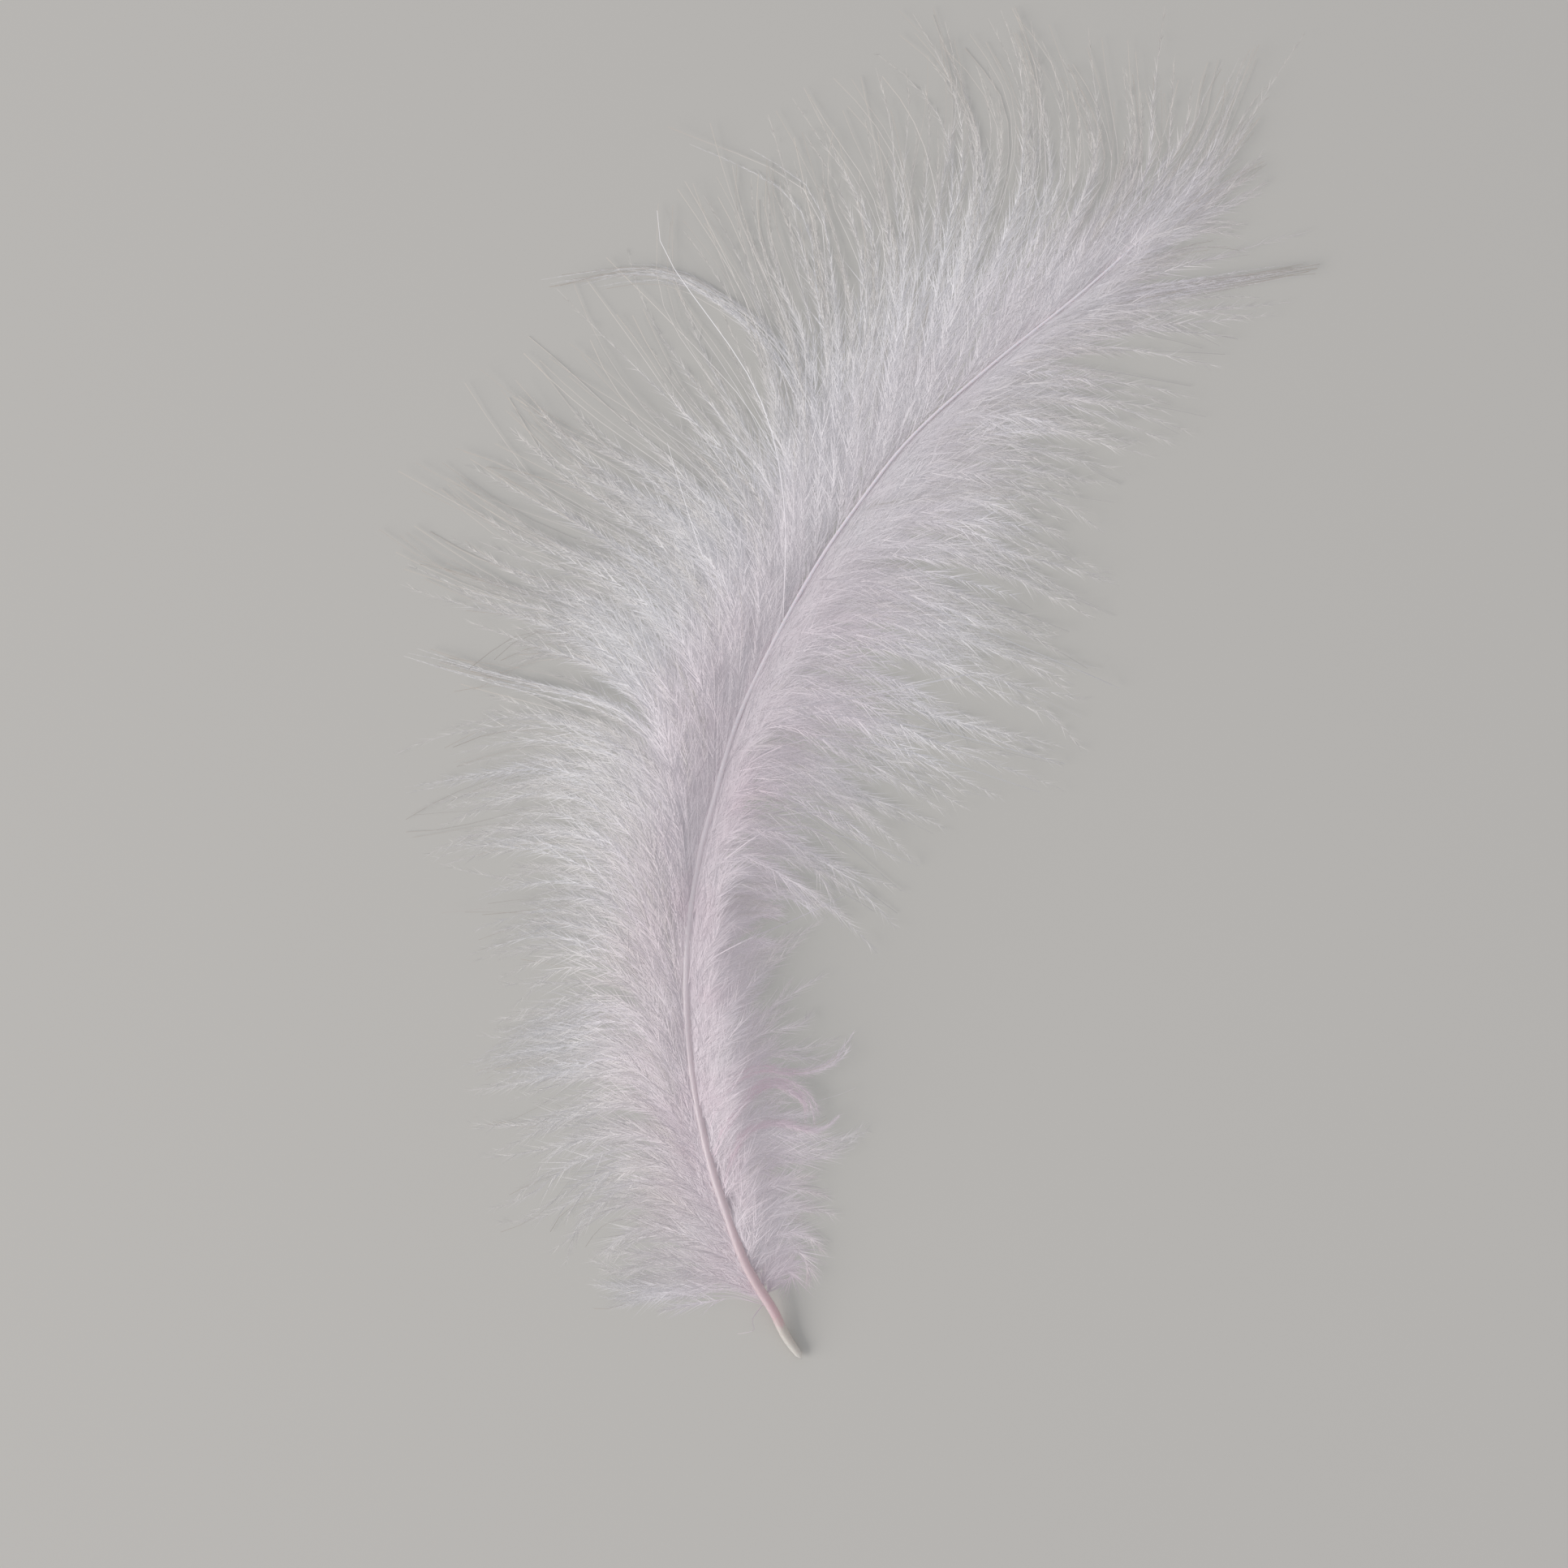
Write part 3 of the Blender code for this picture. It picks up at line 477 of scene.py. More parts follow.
def tube_faces(lines, points, sides):
    """Corners and sizes of closed tubes: quads round each step, and one face over each end."""
    ring = np.arange(sides)
    nxt = (ring + 1) % sides
    near = np.arange(points - 1)[:, None] * sides
    quads = np.stack((near + ring, near + nxt, near + nxt + sides, near + ring + sides), axis=-1)
    start = ring[::-1]
    end = (points - 1) * sides + ring
    one = np.concatenate((quads.reshape(-1), start, end))
    sizes = np.concatenate((np.full((points - 1) * sides, 4), (sides, sides)))
    offsets = np.arange(lines)[:, None] * (points * sides)
    return (offsets + one[None, :]).reshape(-1), np.tile(sizes, lines)


def tube_points(lines, radius, sides):
    """Rings round many lines: each ring point is the line's plus radius times (cos, sin)."""
    _, side, upright = line_frames(lines)
    turn = np.arange(sides) * (2 * math.pi / sides)
    across = np.cos(turn)[None, None, :, None] * side[:, :, None, :]
    raised = np.sin(turn)[None, None, :, None] * upright[:, :, None, :]
    return lines[:, :, None, :] + radius[:, :, None, None] * (across + raised)


# ---------------------------------------------------------------- barbs and their down

# Real barbules are about 0.01 mm thick, and there are far more of them. These are drawn 0.02
# to 0.13 mm thick at the root, as coarse as they need to be to show, and taper to a point.
BARB_SIDES = 3
BARB_RADIUS = (0.024, 0.010)        # of a fluffy barb, at its root and at its tip
HAIR_RADIUS = (0.029, 0.018)        # of a long bare barb
BARB_SCATTER = (0.8, 1.2)           # and the range of thickness from one to the next
BARBULE_RADIUS = 0.011              # of a barbule at its root,
BARBULE_RADIUS_RATE = 0.0100        # and what each millimetre of its length adds
NEEDLE_FACES = np.array(((0, 2, 1), (3, 0, 1), (3, 1, 2), (3, 2, 0)))   # 3 is the barbule's tip

# How barbs are scattered about the locks' lines. A power says how something grows along a
# barb: at 1 evenly, above 1 mostly towards the tip.
GAP_LEAST = 0.4              # added to the gap between two locks, when barbs are shared out
STEP_SCATTER = (0.05, 0.95)  # where a barb grows in its own even share of the shaft
PULL_SCATTER = (0.55, 1.15)  # how the drawing in varies from barb to barb
PULL_POWER = 1.6
PULL_MOST = 0.96             # a barb never comes quite onto a lock's middle line
WAVES = 3                    # sine waves that waver a barb,
WAVE_TURNS = (0.4, 2.0)      # and how many turns each makes over its length
SWAY_POWER = 1.3
HEAVE = 0.30                 # how far the same waves lift and lower the barb,
HEAVE_STRETCH = 0.8          # with this share of their turns
HEAVE_POWER = 0.8
STRAY_POWER = 1.1
RAISE_POWER = 0.5            # below 1 a raised barb's arch is steep at its ends and flat on top
BARB_LIFT = 0.35             # each barb has its own least height, up to this above FLOOR_GAP

# How barbules stand on a barb. Angles are radians.
ANGLE_SCATTER = 0.16
TILT_SCATTER = 0.7
ROOT_LENGTH = 0.6            # a barbule's length at the barb's root, as a share of the full one,
LENGTH_RISE = 3.0            # and how many full lengths it would grow by along the whole barb
TIP_LENGTH = 0.2             # its share of the full length where it has faded
FADE_POWER = 1.2
LENGTH_SCATTER = (0.5, 1.3)


def root_places(random, region, lines, count):
    """Where barbs grow, counted along the locks: at random in each of equal shares.

    The space between two locks gets its share by how far apart they are halfway out, times
    the sum of their widths.
    """
    gaps = np.linalg.norm(np.diff(lines[:, LINE_POINTS // 2, :2], axis=0), axis=1) + GAP_LEAST
    full = np.array([lock[0] for lock in region["locks"]])
    ends = np.concatenate(([0.0], np.cumsum(gaps * (full[1:] + full[:-1]))))
    even = (np.arange(count) + random.uniform(*STEP_SCATTER, count)) / count * ends[-1]
    place = np.interp(even, ends, np.arange(len(lines)))
    return np.round(place) if region["apart"] else place


def gathered(random, region, lines, widths, place):
    """Barbs' lines read between the two nearest locks' lines, and the width to scatter them in.

    Towards the tip a barb is drawn in to the nearer lock's own line, or to the next one's when
    it crosses over.
    """
    count = len(place)
    last = len(lines) - 1
    low = place.astype(int)
    above = np.minimum(low + 1, last)
    part = (place - low)[:, None, None]
    between = lines[low] * (1 - part) + lines[above] * part
    width = widths[low] * (1 - part[..., 0]) + widths[above] * part[..., 0]
    crossing = random.random(count) < region["cross"]
    aim = np.round(place) + crossing * random.choice((-1, 1), count)
    aim = np.clip(aim, 0, last).astype(int)
    pull = region["clump"] * random.uniform(*PULL_SCATTER, (count, 1)) * LINE_PLACES ** PULL_POWER
    pull = np.clip(pull, 0, PULL_MOST)[..., None]
    return between * (1 - pull) + lines[aim] * pull, width


def wavered(random, region, path, width):
    """The lines set off inside their lock's section, wavered, strayed and raised.

    They waver by a sum of sine waves, the slower the wider, which grows by a power of the
    place. Each strays by a long-tailed random distance, times a power of the place, times one
    plus the place. The raise is a sine arch to a power.
    """
    count = len(path)
    t = LINE_PLACES
    _, side, _ = line_frames(path)
    offset = random.uniform(-0.5, 0.5, (count, 1)) * width * region["spread"]
    level = random.uniform(-LOCK_KEEL, LOCK_CROWN, (count, 1)) * width
    path = path + offset[..., None] * side + level[..., None] * UP
    waves = random.uniform(*WAVE_TURNS, (WAVES, count, 1))
    phases = random.uniform(0, 2 * math.pi, (WAVES, count, 1))
    sway = np.sum(np.sin(2 * math.pi * waves * t + phases) / waves, axis=0)
    sway = sway * region["sway"] * t ** SWAY_POWER
    path = path + sway[..., None] * side
    heave = np.sum(np.sin(2 * math.pi * waves * t * HEAVE_STRETCH - phases) / waves, axis=0)
    path = path + (HEAVE * heave * t ** HEAVE_POWER)[..., None] * UP
    stray = random.laplace(0, region["stray"], (count, 1)) * t ** STRAY_POWER
    path = path + (stray * (1 + t))[..., None] * side
    return path + (region["raised"] * np.sin(math.pi * t) ** RAISE_POWER)[..., None] * UP


def shorten(random, path, region):
    """Each barb keeps the first part of its line: most nearly all of it, and a few much less."""
    count = len(path)
    keep = random.uniform(*region["length"], count)
    short = random.random(count) < region["short_share"]
    keep = np.where(short, random.uniform(*region["short"], count), keep)
    rows = np.repeat(np.arange(count)[:, None], LINE_POINTS, axis=1)
    path = read_lines(path, rows, LINE_PLACES * keep[:, None])
    lowest = FLOOR_GAP + random.uniform(0, BARB_LIFT, (count, 1))
    path[..., 2] = np.maximum(path[..., 2], lowest)
    depth = random.uniform(*BARB_DEPTH, (count, 1))
    return keep_off_shaft(fold_to_side(path, region["hand"]), depth)


def grow_barbs(random, region, count):
    """Middle lines of a region's barbs, (barb, point, xyz)."""
    lines, widths = lock_lines(region["locks"], region["slide"])
    place = root_places(random, region, lines, count)
    path, width = gathered(random, region, lines, widths, place)
    return shorten(random, wavered(random, region, path, width), region)


def bareness(place, region):
    """How far a barb has turned to undyed horn: a straight rise to its most at the tip."""
    start, strength = region["bare"]
    return strength * np.clip((place - start) / (1 - start), 0, 1)


def fibre_values(random, region, points, place, shades):
    """What the materials read at each point.

    Bare is how far it has turned to horn, fibre its painted shade in an even scatter from the
    region's dullest to the brightest, dye how pink it is, and light the share of its colour that
    the painted shade beside the shaft leaves.
    """
    shape = points.shape[:-1]
    fibre = region["bright"] + (1 - region["bright"]) * random.random(shades)
    return {
        "bare": np.broadcast_to(bareness(place, region)[..., None], shape),
        "fibre": np.broadcast_to(fibre, shape),
        "dye": DYE_SHARE * dye_strength(points) + region["deep"],
        "light": painted_shade_band(points),
    }


def barb_piece(name, random, paths, region, radii, material):
    """Three-sided closed hairs that taper in a straight line from root to tip."""
    count = len(paths)
    thick = random.uniform(*BARB_SCATTER, (count, 1))
    radius = thick * region["stout"] * (radii[0] + (radii[1] - radii[0]) * LINE_PLACES)
    points = tube_points(paths, radius, BARB_SIDES)
    faces, sizes = tube_faces(count, LINE_POINTS, BARB_SIDES)
    values = fibre_values(random, region, points, LINE_PLACES, (count, 1, 1))
    return mesh_piece(name, points.reshape(-1, 3), faces, sizes, values, material)


def barbule_places(random, region, count, each):
    """Where barbules grow on their barbs, (barb, pair, side), from 0 at the root to 1 at the tip.

    A pair stands at a power of an even count, and its two barbules up to half a step apart
    from there.
    """
    step = (np.arange(each) + random.uniform(0, 1, (count, each))) / each
    step = step ** region["rooted"]
    place = region["down_from"] + (region["down_to"] - region["down_from"]) * step
    place = np.repeat(place[:, :, None], 2, axis=2)
    return np.clip(place + random.uniform(-0.5, 0.5, place.shape) / each, 0, 1)


def barbule_lines(random, region, paths, place):
    """Each barbule's base, tip and length.

    They leave both sides of a barb. The angle to the barb changes in a straight line along
    it, with a normal scatter, and another tilts the barbule up or down. The length rises from
    the shaft and fades towards the barb's tip.
    """
    hand = np.broadcast_to(np.array((-1.0, 1.0)), place.shape)
    row = np.broadcast_to(np.arange(len(paths))[:, None, None], place.shape)
    along, side, upright = line_frames(paths)
    base = read_lines(paths, row, place)
    ahead = unit(read_lines(along, row, place))
    out = unit(read_lines(side, row, place)) * hand[..., None]
    lift = unit(read_lines(upright, row, place))
    angle = region["angle"][0] + (region["angle"][1] - region["angle"][0]) * place
    angle = (angle + random.normal(0, ANGLE_SCATTER, place.shape))[..., None]
    tilt = random.normal(0, TILT_SCATTER, place.shape)[..., None]
    heading = np.cos(angle) * ahead + np.sin(angle) * (np.cos(tilt) * out + np.sin(tilt) * lift)
    fade = np.clip((region["down_fade"][1] - place) / np.ptp(region["down_fade"]), 0, 1)
    rise = np.clip(ROOT_LENGTH + place * LENGTH_RISE, 0, 1)
    length = region["down_length"] * rise * (TIP_LENGTH + (1 - TIP_LENGTH) * fade ** FADE_POWER)
    length = length * random.uniform(*LENGTH_SCATTER, place.shape)
    tip = fold_to_side(base + heading * length[..., None], region["hand"])
    return base, tip, length


def down_piece(name, random, paths, region, barbules, material):
    """Barbules as closed needles: a ring of three points round the base, turned at random, and
    a tip, with four faces.
    """
    count = len(paths)
    place = barbule_places(random, region, count, int(barbules / (2 * count)))
    base, tip, length = barbule_lines(random, region, paths, place)
    heading = unit(tip - base)
    flat = unit(np.cross(heading, random.normal(0, 1, heading.shape)))
    deep = np.cross(heading, flat)
    turn = np.arange(3) * (2 * math.pi / 3)
    ring = np.cos(turn)[:, None] * flat[..., None, :] + np.sin(turn)[:, None] * deep[..., None, :]
    radius = region["stout"] * (BARBULE_RADIUS + BARBULE_RADIUS_RATE * length)
    ring = base[..., None, :] + radius[..., None, None] * ring
    depth = random.uniform(0, DISH_DEPTH, place.shape)[..., None]
    points = keep_off_shaft(np.concatenate((ring, tip[..., None, :]), axis=-2), depth)
    faces = (np.arange(place.size)[:, None] * 4 + NEEDLE_FACES.reshape(1, -1)).reshape(-1)
    sizes = np.full(4 * place.size, 3)
    values = fibre_values(random, region, points, place, (*place.shape, 1))
    return mesh_piece(name, points.reshape(-1, 3), faces, sizes, values, material)


# ---------------------------------------------------------------- shaft

SHAFT_SIDES = 16
QUILL_ROUNDING = 0.7         # the quill's tip rounds off over this length,
TIP_ROUNDING = 3.0           # and the shaft's upper end over this one
END_LEAST = 0.03             # so that the end faces keep a size: the least square of the share
GROOVE_DEPTH = 0.22          # as a share of the radius
GROOVE_WIDTH = 0.45          # in radians
UNDERSIDE = 1.5 * math.pi    # the turn that points straight down


def rounded(distance, length):
    """Share of the full radius at a distance from an end: a quarter of an ellipse."""
    return np.sqrt(np.clip(1 - (1 - np.clip(distance / length, 0, 1)) ** 2, END_LEAST, 1))


def shaft_piece(material):
    """The shaft: rings round its middle line, closed in a half ellipse at both ends.

    The section is a circle with a shallow bell-shaped groove along its underside.
    """
    rows = SHAFT_LINE
    length = np.linalg.norm(np.diff(rows[:, :2], axis=0), axis=1).sum()
    run = np.linspace(0, length, SHAFT_RINGS)
    radius = rows[:, 3] / 2 * rounded(run, QUILL_ROUNDING) * rounded(length - run, TIP_ROUNDING)
    turn = np.arange(SHAFT_SIDES) * (2 * math.pi / SHAFT_SIDES)
    groove = 1 - GROOVE_DEPTH * np.exp(-((turn - UNDERSIDE) / GROOVE_WIDTH) ** 2)
    _, side, upright = line_frames(rows[None, :, :3])
    across = np.cos(turn)[None, :, None] * side[0][:, None, :]
    raised = np.sin(turn)[None, :, None] * upright[0][:, None, :]
    points = rows[:, None, :3] + radius[:, None, None] * groove[None, :, None] * (across + raised)
    faces, sizes = tube_faces(1, SHAFT_RINGS, SHAFT_SIDES)
    values = {"along": np.repeat(run / length, SHAFT_SIDES)}
    return mesh_piece("shaft", points.reshape(-1, 3), faces, sizes, values, material, True)


# ---------------------------------------------------------------- materials

KERATIN_IOR = 1.55
DOWN_ROUGHNESS = (0.58, 0.42)       # of down, and of a barb that is all bare horn
DOWN_SPECULAR = 0.4
SHAFT_ROUGHNESS = (0.30, 0.46)      # waxy, and it changes from streak to streak
PATCH_WIDTH = 6.25           # the dye takes unevenly, in patches about this wide,
PATCH_RANGE = (0.3, 0.7)     # where the noise, which seldom leaves this range,
PATCH_TAKES = (0.65, 1.2)    # sets how much of the dye is taken
# A quill's fine streaks are about 0.1 mm wide, too fine to show, and are drawn this wide.
STREAK_WIDTH = 1.11
STREAK_SHIFT = 0.012         # they shift the shaft's colours by this share of its length
STREAK_RELIEF = 0.05         # and stand out by up to this,
STREAK_STRENGTH = 0.3        # of which this share shows
LIGHT_PASSED = 0.15          # the share of light that goes through a fibre

# Dye on the down, from none to full, and the colour of the barbs' bare ends: undyed horn,
# and partly painted shade, as thin ends look darker in shade.
DYE_STOPS = ((0.0, "F9F6F9"), (0.32, "F7EFF4"), (0.7, "F3E6ED"), (1.0, "F2DDE7"))
DOWN_TIP = "D8D1CA"
HAIR_TIP = "D2C6BA"
DOWN_SHADES = (0.87, 0.98)   # painted shade: how much colour the darkest and brightest fibre keeps
HAIR_SHADES = (0.70, 1.0)

# The shaft's colours from the quill's grey bare tip, past the pinkest place, to the upper end.
SHAFT_STOPS = (
    (0.0, "C4C0BA"), (0.028, "C4BEB8"), (0.037, "C9AEB1"), (0.048, "C9B3B7"), (0.13, "C8BABF"),
    (0.22, "CCBEC4"), (0.35, "DACDD4"), (0.48, "EFDDE6"), (0.6, "FFEAF2"), (1.0, "FFEAF2"))
QUILL_DEPTH = 1.6            # light goes this far into the thick lower shaft,
SHAFT_DEPTH = 0.2            # and this far into the thin upper one,
DEPTH_TURN = (0.3, 0.6)      # with the change between these shares of its length
DEPTH_COLOURS = (1.0, 0.9, 0.9)     # red goes the furthest
FLOOR_COLOUR = "D1CDC8"
FLOOR_ROUGHNESS = 0.95
FLOOR_SPECULAR = 0.2


def linear(hex_colour):
    """An sRGB colour written as six hex digits, as the linear RGBA that the shader takes."""
    parts = [int(hex_colour[k:k + 2], 16) / 255 for k in (0, 2, 4)]
    parts = [p / 12.92 if p <= 0.04045 else ((p + 0.055) / 1.055) ** 2.4 for p in parts]
    return (*parts, 1.0)


def pattern_scale(width):
    """The noise scale whose patches are a width in millimetres, on coordinates in metres."""
    return 1 / (width * MM)


def add_node(tree, kind, inputs=(), **settings):
    """A node with its settings. An input is a value, or another node's output to link."""
    node = tree.nodes.new(kind)
    for name, value in settings.items():
        setattr(node, name, value)
    for name, value in dict(inputs).items():
        socket = node.inputs[name] if isinstance(name, int) else live_socket(node.inputs, name)
        if isinstance(value, bpy.types.NodeSocket):
            tree.links.new(value, socket)
        else:
            socket.default_value = value
    return node


def live_socket(sockets, name):
    """The socket of that name that the node's settings have in use."""
    return next(socket for socket in sockets if socket.name == name and socket.enabled)


def set_ramp(ramp, stops):
    """A colour ramp's stops: a place and an sRGB hex colour for each."""
    while len(ramp.elements) < len(stops):
        ramp.elements.new(0.5)
    for element, (place, colour) in zip(ramp.elements, stops):
        element.position = place
        element.color = linear(colour)


def new_material(name):
    """A material with an empty node tree, and that tree."""
    material = bpy.data.materials.new(name)
    material.use_nodes = True
    material.node_tree.nodes.clear()
    return material, material.node_tree


def down_material(name, shades, tip_colour):
    """Turkey keratin as it grew, dyed in a bath: soft down, or smooth bare barbs.

    Down looks pale and matte, because its fine fibres throw light every way and let some
    through. A bare end is smooth horn: greyer, undyed and a little glossy, and its colour is
    partly painted shade, as thin ends look darker in shade. Each fibre's colour is darkened by
    its own share, painted shade for the different turns that fibres lie at to the light, most
    for the bare barbs, and down beside the shaft is darkened more, a band of painted shade.
    """
    material, tree = new_material(name)
    bare = add_node(tree, "ShaderNodeAttribute", attribute_name="bare")
    fibre = add_node(tree, "ShaderNodeAttribute", attribute_name="fibre")
    dye = add_node(tree, "ShaderNodeAttribute", attribute_name="dye")
    light = add_node(tree, "ShaderNodeAttribute", attribute_name="light")
    place = add_node(tree, "ShaderNodeTexCoord")
    patches = add_node(tree, "ShaderNodeTexNoise", {
        "Vector": place.outputs["Object"], "Scale": pattern_scale(PATCH_WIDTH), "Detail": 3.0})
    uneven = add_node(tree, "ShaderNodeMapRange", {
        "Value": patches.outputs["Fac"], "From Min": PATCH_RANGE[0], "From Max": PATCH_RANGE[1],
        "To Min": PATCH_TAKES[0], "To Max": PATCH_TAKES[1]})
    taken = add_node(tree, "ShaderNodeMath", {
        0: dye.outputs["Fac"], 1: uneven.outputs["Result"]}, operation="MULTIPLY")
    pink = add_node(tree, "ShaderNodeValToRGB", {"Fac": taken.outputs["Value"]})
    set_ramp(pink.color_ramp, DYE_STOPS)
    horn = add_node(tree, "ShaderNodeMix", {
        "Factor": bare.outputs["Fac"], "A": pink.outputs["Color"],
        "B": linear(tip_colour)}, data_type="RGBA")
    shade = add_node(tree, "ShaderNodeMapRange", {
        "Value": fibre.outputs["Fac"], "To Min": shades[0], "To Max": shades[1]})
    lit = add_node(tree, "ShaderNodeMath", {
        0: shade.outputs["Result"], 1: light.outputs["Fac"]}, operation="MULTIPLY")
    colour = add_node(tree, "ShaderNodeVectorMath", {
        0: live_socket(horn.outputs, "Result"), 1: lit.outputs["Value"]}, operation="MULTIPLY")
    gloss = add_node(tree, "ShaderNodeMapRange", {
        "Value": bare.outputs["Fac"], "To Min": DOWN_ROUGHNESS[0], "To Max": DOWN_ROUGHNESS[1]})
    skin = add_node(tree, "ShaderNodeBsdfPrincipled", {
        "Base Color": colour.outputs["Vector"], "Roughness": gloss.outputs["Result"],
        "IOR": KERATIN_IOR, "Specular IOR Level": DOWN_SPECULAR})
    through = add_node(tree, "ShaderNodeBsdfTranslucent", {"Color": colour.outputs["Vector"]})
    mixed = add_node(tree, "ShaderNodeMixShader", {
        0: LIGHT_PASSED, 1: skin.outputs["BSDF"], 2: through.outputs["BSDF"]})
    add_node(tree, "ShaderNodeOutputMaterial", {"Surface": mixed.outputs["Shader"]})
    return material


def shaft_material():
    """Turkey quill, solid keratin as it grew: smooth, and waxy to the eye.

    Light goes into it and comes out again close by, so that its edges don't darken, and a
    narrow soft highlight breaks up along its fine streaks. The bare end is hollow and greyer.
    """
    material, tree = new_material("quill_keratin_waxy")
    along = add_node(tree, "ShaderNodeAttribute", attribute_name="along")
    place = add_node(tree, "ShaderNodeTexCoord")
    streaks = add_node(tree, "ShaderNodeTexNoise", {
        "Vector": place.outputs["Object"], "Scale": pattern_scale(STREAK_WIDTH), "Detail": 2.0})
    shift = add_node(tree, "ShaderNodeMapRange", {
        "Value": streaks.outputs["Fac"], "To Min": -STREAK_SHIFT, "To Max": STREAK_SHIFT})
    moved = add_node(tree, "ShaderNodeMath", {
        0: along.outputs["Fac"], 1: shift.outputs["Result"]}, operation="ADD")
    dye = add_node(tree, "ShaderNodeValToRGB", {"Fac": moved.outputs["Value"]})
    set_ramp(dye.color_ramp, SHAFT_STOPS)
    depth = add_node(tree, "ShaderNodeMapRange", {
        "Value": along.outputs["Fac"], "From Min": DEPTH_TURN[0], "From Max": DEPTH_TURN[1],
        "To Min": QUILL_DEPTH * MM, "To Max": SHAFT_DEPTH * MM})
    gloss = add_node(tree, "ShaderNodeMapRange", {
        "Value": streaks.outputs["Fac"],
        "To Min": SHAFT_ROUGHNESS[0], "To Max": SHAFT_ROUGHNESS[1]})
    ridges = add_node(tree, "ShaderNodeBump", {
        "Height": streaks.outputs["Fac"], "Strength": STREAK_STRENGTH,
        "Distance": STREAK_RELIEF * MM})
    skin = add_node(tree, "ShaderNodeBsdfPrincipled", {
        "Base Color": dye.outputs["Color"], "Roughness": gloss.outputs["Result"],
        "Normal": ridges.outputs["Normal"], "IOR": KERATIN_IOR,
        "Subsurface Weight": 1.0, "Subsurface Radius": DEPTH_COLOURS,
        "Subsurface Scale": depth.outputs["Result"]})
    add_node(tree, "ShaderNodeOutputMaterial", {"Surface": skin.outputs["BSDF"]})
    return material


def floor_material():
    """Plain uncoated card, pressed flat: matte all over, with hardly any highlight."""
    material, tree = new_material("card_matte_uncoated")
    skin = add_node(tree, "ShaderNodeBsdfPrincipled", {
        "Base Color": linear(FLOOR_COLOUR), "Roughness": FLOOR_ROUGHNESS,
        "Specular IOR Level": FLOOR_SPECULAR})
    add_node(tree, "ShaderNodeOutputMaterial", {"Surface": skin.outputs["BSDF"]})
    return material


# ---------------------------------------------------------------- stage

VIEW_WIDTH = 135.8           # millimetres of the surface that the picture spans,
VIEW_MIDDLE = (-1.55, 49.70)        # the plan point at its middle,
CAMERA_HEIGHT = 300.0        # and how far above the surface the camera is
SENSOR = 36.0
CLIP_START = 0.01            # this and the lengths below are metres

FLOOR_SIZE = 6.0
LIGHT_SIZE = (1.3, 0.9)
LIGHT_DISTANCE = 1.5
LIGHT_SIDE = (-0.93, -0.36, 0.0)    # the light comes from the left, a little from the quill's end,
LIGHT_ELEVATION = math.radians(24)  # and low over the surface
LIGHT_WATTS = 16.5
LIGHT_COLOUR = (1.0, 0.985, 0.96)
ROOM_COLOUR = (0.93, 0.96, 1.0, 1.0)
ROOM_STRENGTH = 0.51
SOFT_BOUNCES = 8             # light that bounces off matte surfaces is followed this often


def lay_floor():
    """A plain flat sheet under everything, at height nought."""
    bpy.ops.mesh.primitive_plane_add(size=FLOOR_SIZE)
    floor = bpy.context.object
    floor.name = "floor"
    floor.data.materials.append(floor_material())


def hang_camera(x, y):
    """A camera that looks straight down, with a lens that takes in VIEW_WIDTH of the surface."""
    camera = bpy.data.cameras.new("camera")
    camera.sensor_width = SENSOR
    camera.lens = SENSOR * CAMERA_HEIGHT / VIEW_WIDTH
    camera.clip_start = CLIP_START
    holder = bpy.data.objects.new("camera", camera)
    holder.location = (x, y, CAMERA_HEIGHT * MM)
    bpy.context.scene.collection.objects.link(holder)
    bpy.context.scene.camera = holder


def hang_light(x, y):
    """One large soft light at the side, turned to the middle of the view."""
    key = bpy.data.lights.new("window", "AREA")
    key.shape = "RECTANGLE"
    key.size, key.size_y = LIGHT_SIZE
    key.energy = LIGHT_WATTS
    key.color = LIGHT_COLOUR
    lamp = bpy.data.objects.new("window", key)
    level = LIGHT_DISTANCE * math.cos(LIGHT_ELEVATION) * unit(np.array(LIGHT_SIDE))
    lamp.location = (x + level[0], y + level[1], LIGHT_DISTANCE * math.sin(LIGHT_ELEVATION))
    aim = np.array((x, y, 0.0)) - np.array(lamp.location)
    lamp.rotation_mode = "QUATERNION"
    lamp.rotation_quaternion = Vector(aim).to_track_quat("-Z", "Y")
    bpy.context.scene.collection.objects.link(lamp)


def light_room():
    """Even light from all round, a little cooler than the lamp's."""
    world = bpy.data.worlds.new("room")
    bpy.context.scene.world = world
    world.use_nodes = True
    world.node_tree.nodes["Background"].inputs["Color"].default_value = ROOM_COLOUR
    world.node_tree.nodes["Background"].inputs["Strength"].default_value = ROOM_STRENGTH
    bpy.context.scene.view_settings.view_transform = "Standard"
    bpy.context.scene.cycles.diffuse_bounces = SOFT_BOUNCES


def build_stage():
    """The floor, the camera and the light, set about the middle of the view."""
    x = (VIEW_MIDDLE[0] - PLAN_LOW[0]) * MM + CAD_LOW[0]
    y = (VIEW_MIDDLE[1] - PLAN_LOW[1]) * MM + CAD_LOW[1]
    lay_floor()
    hang_camera(x, y)
    hang_light(x, y)
    light_room()
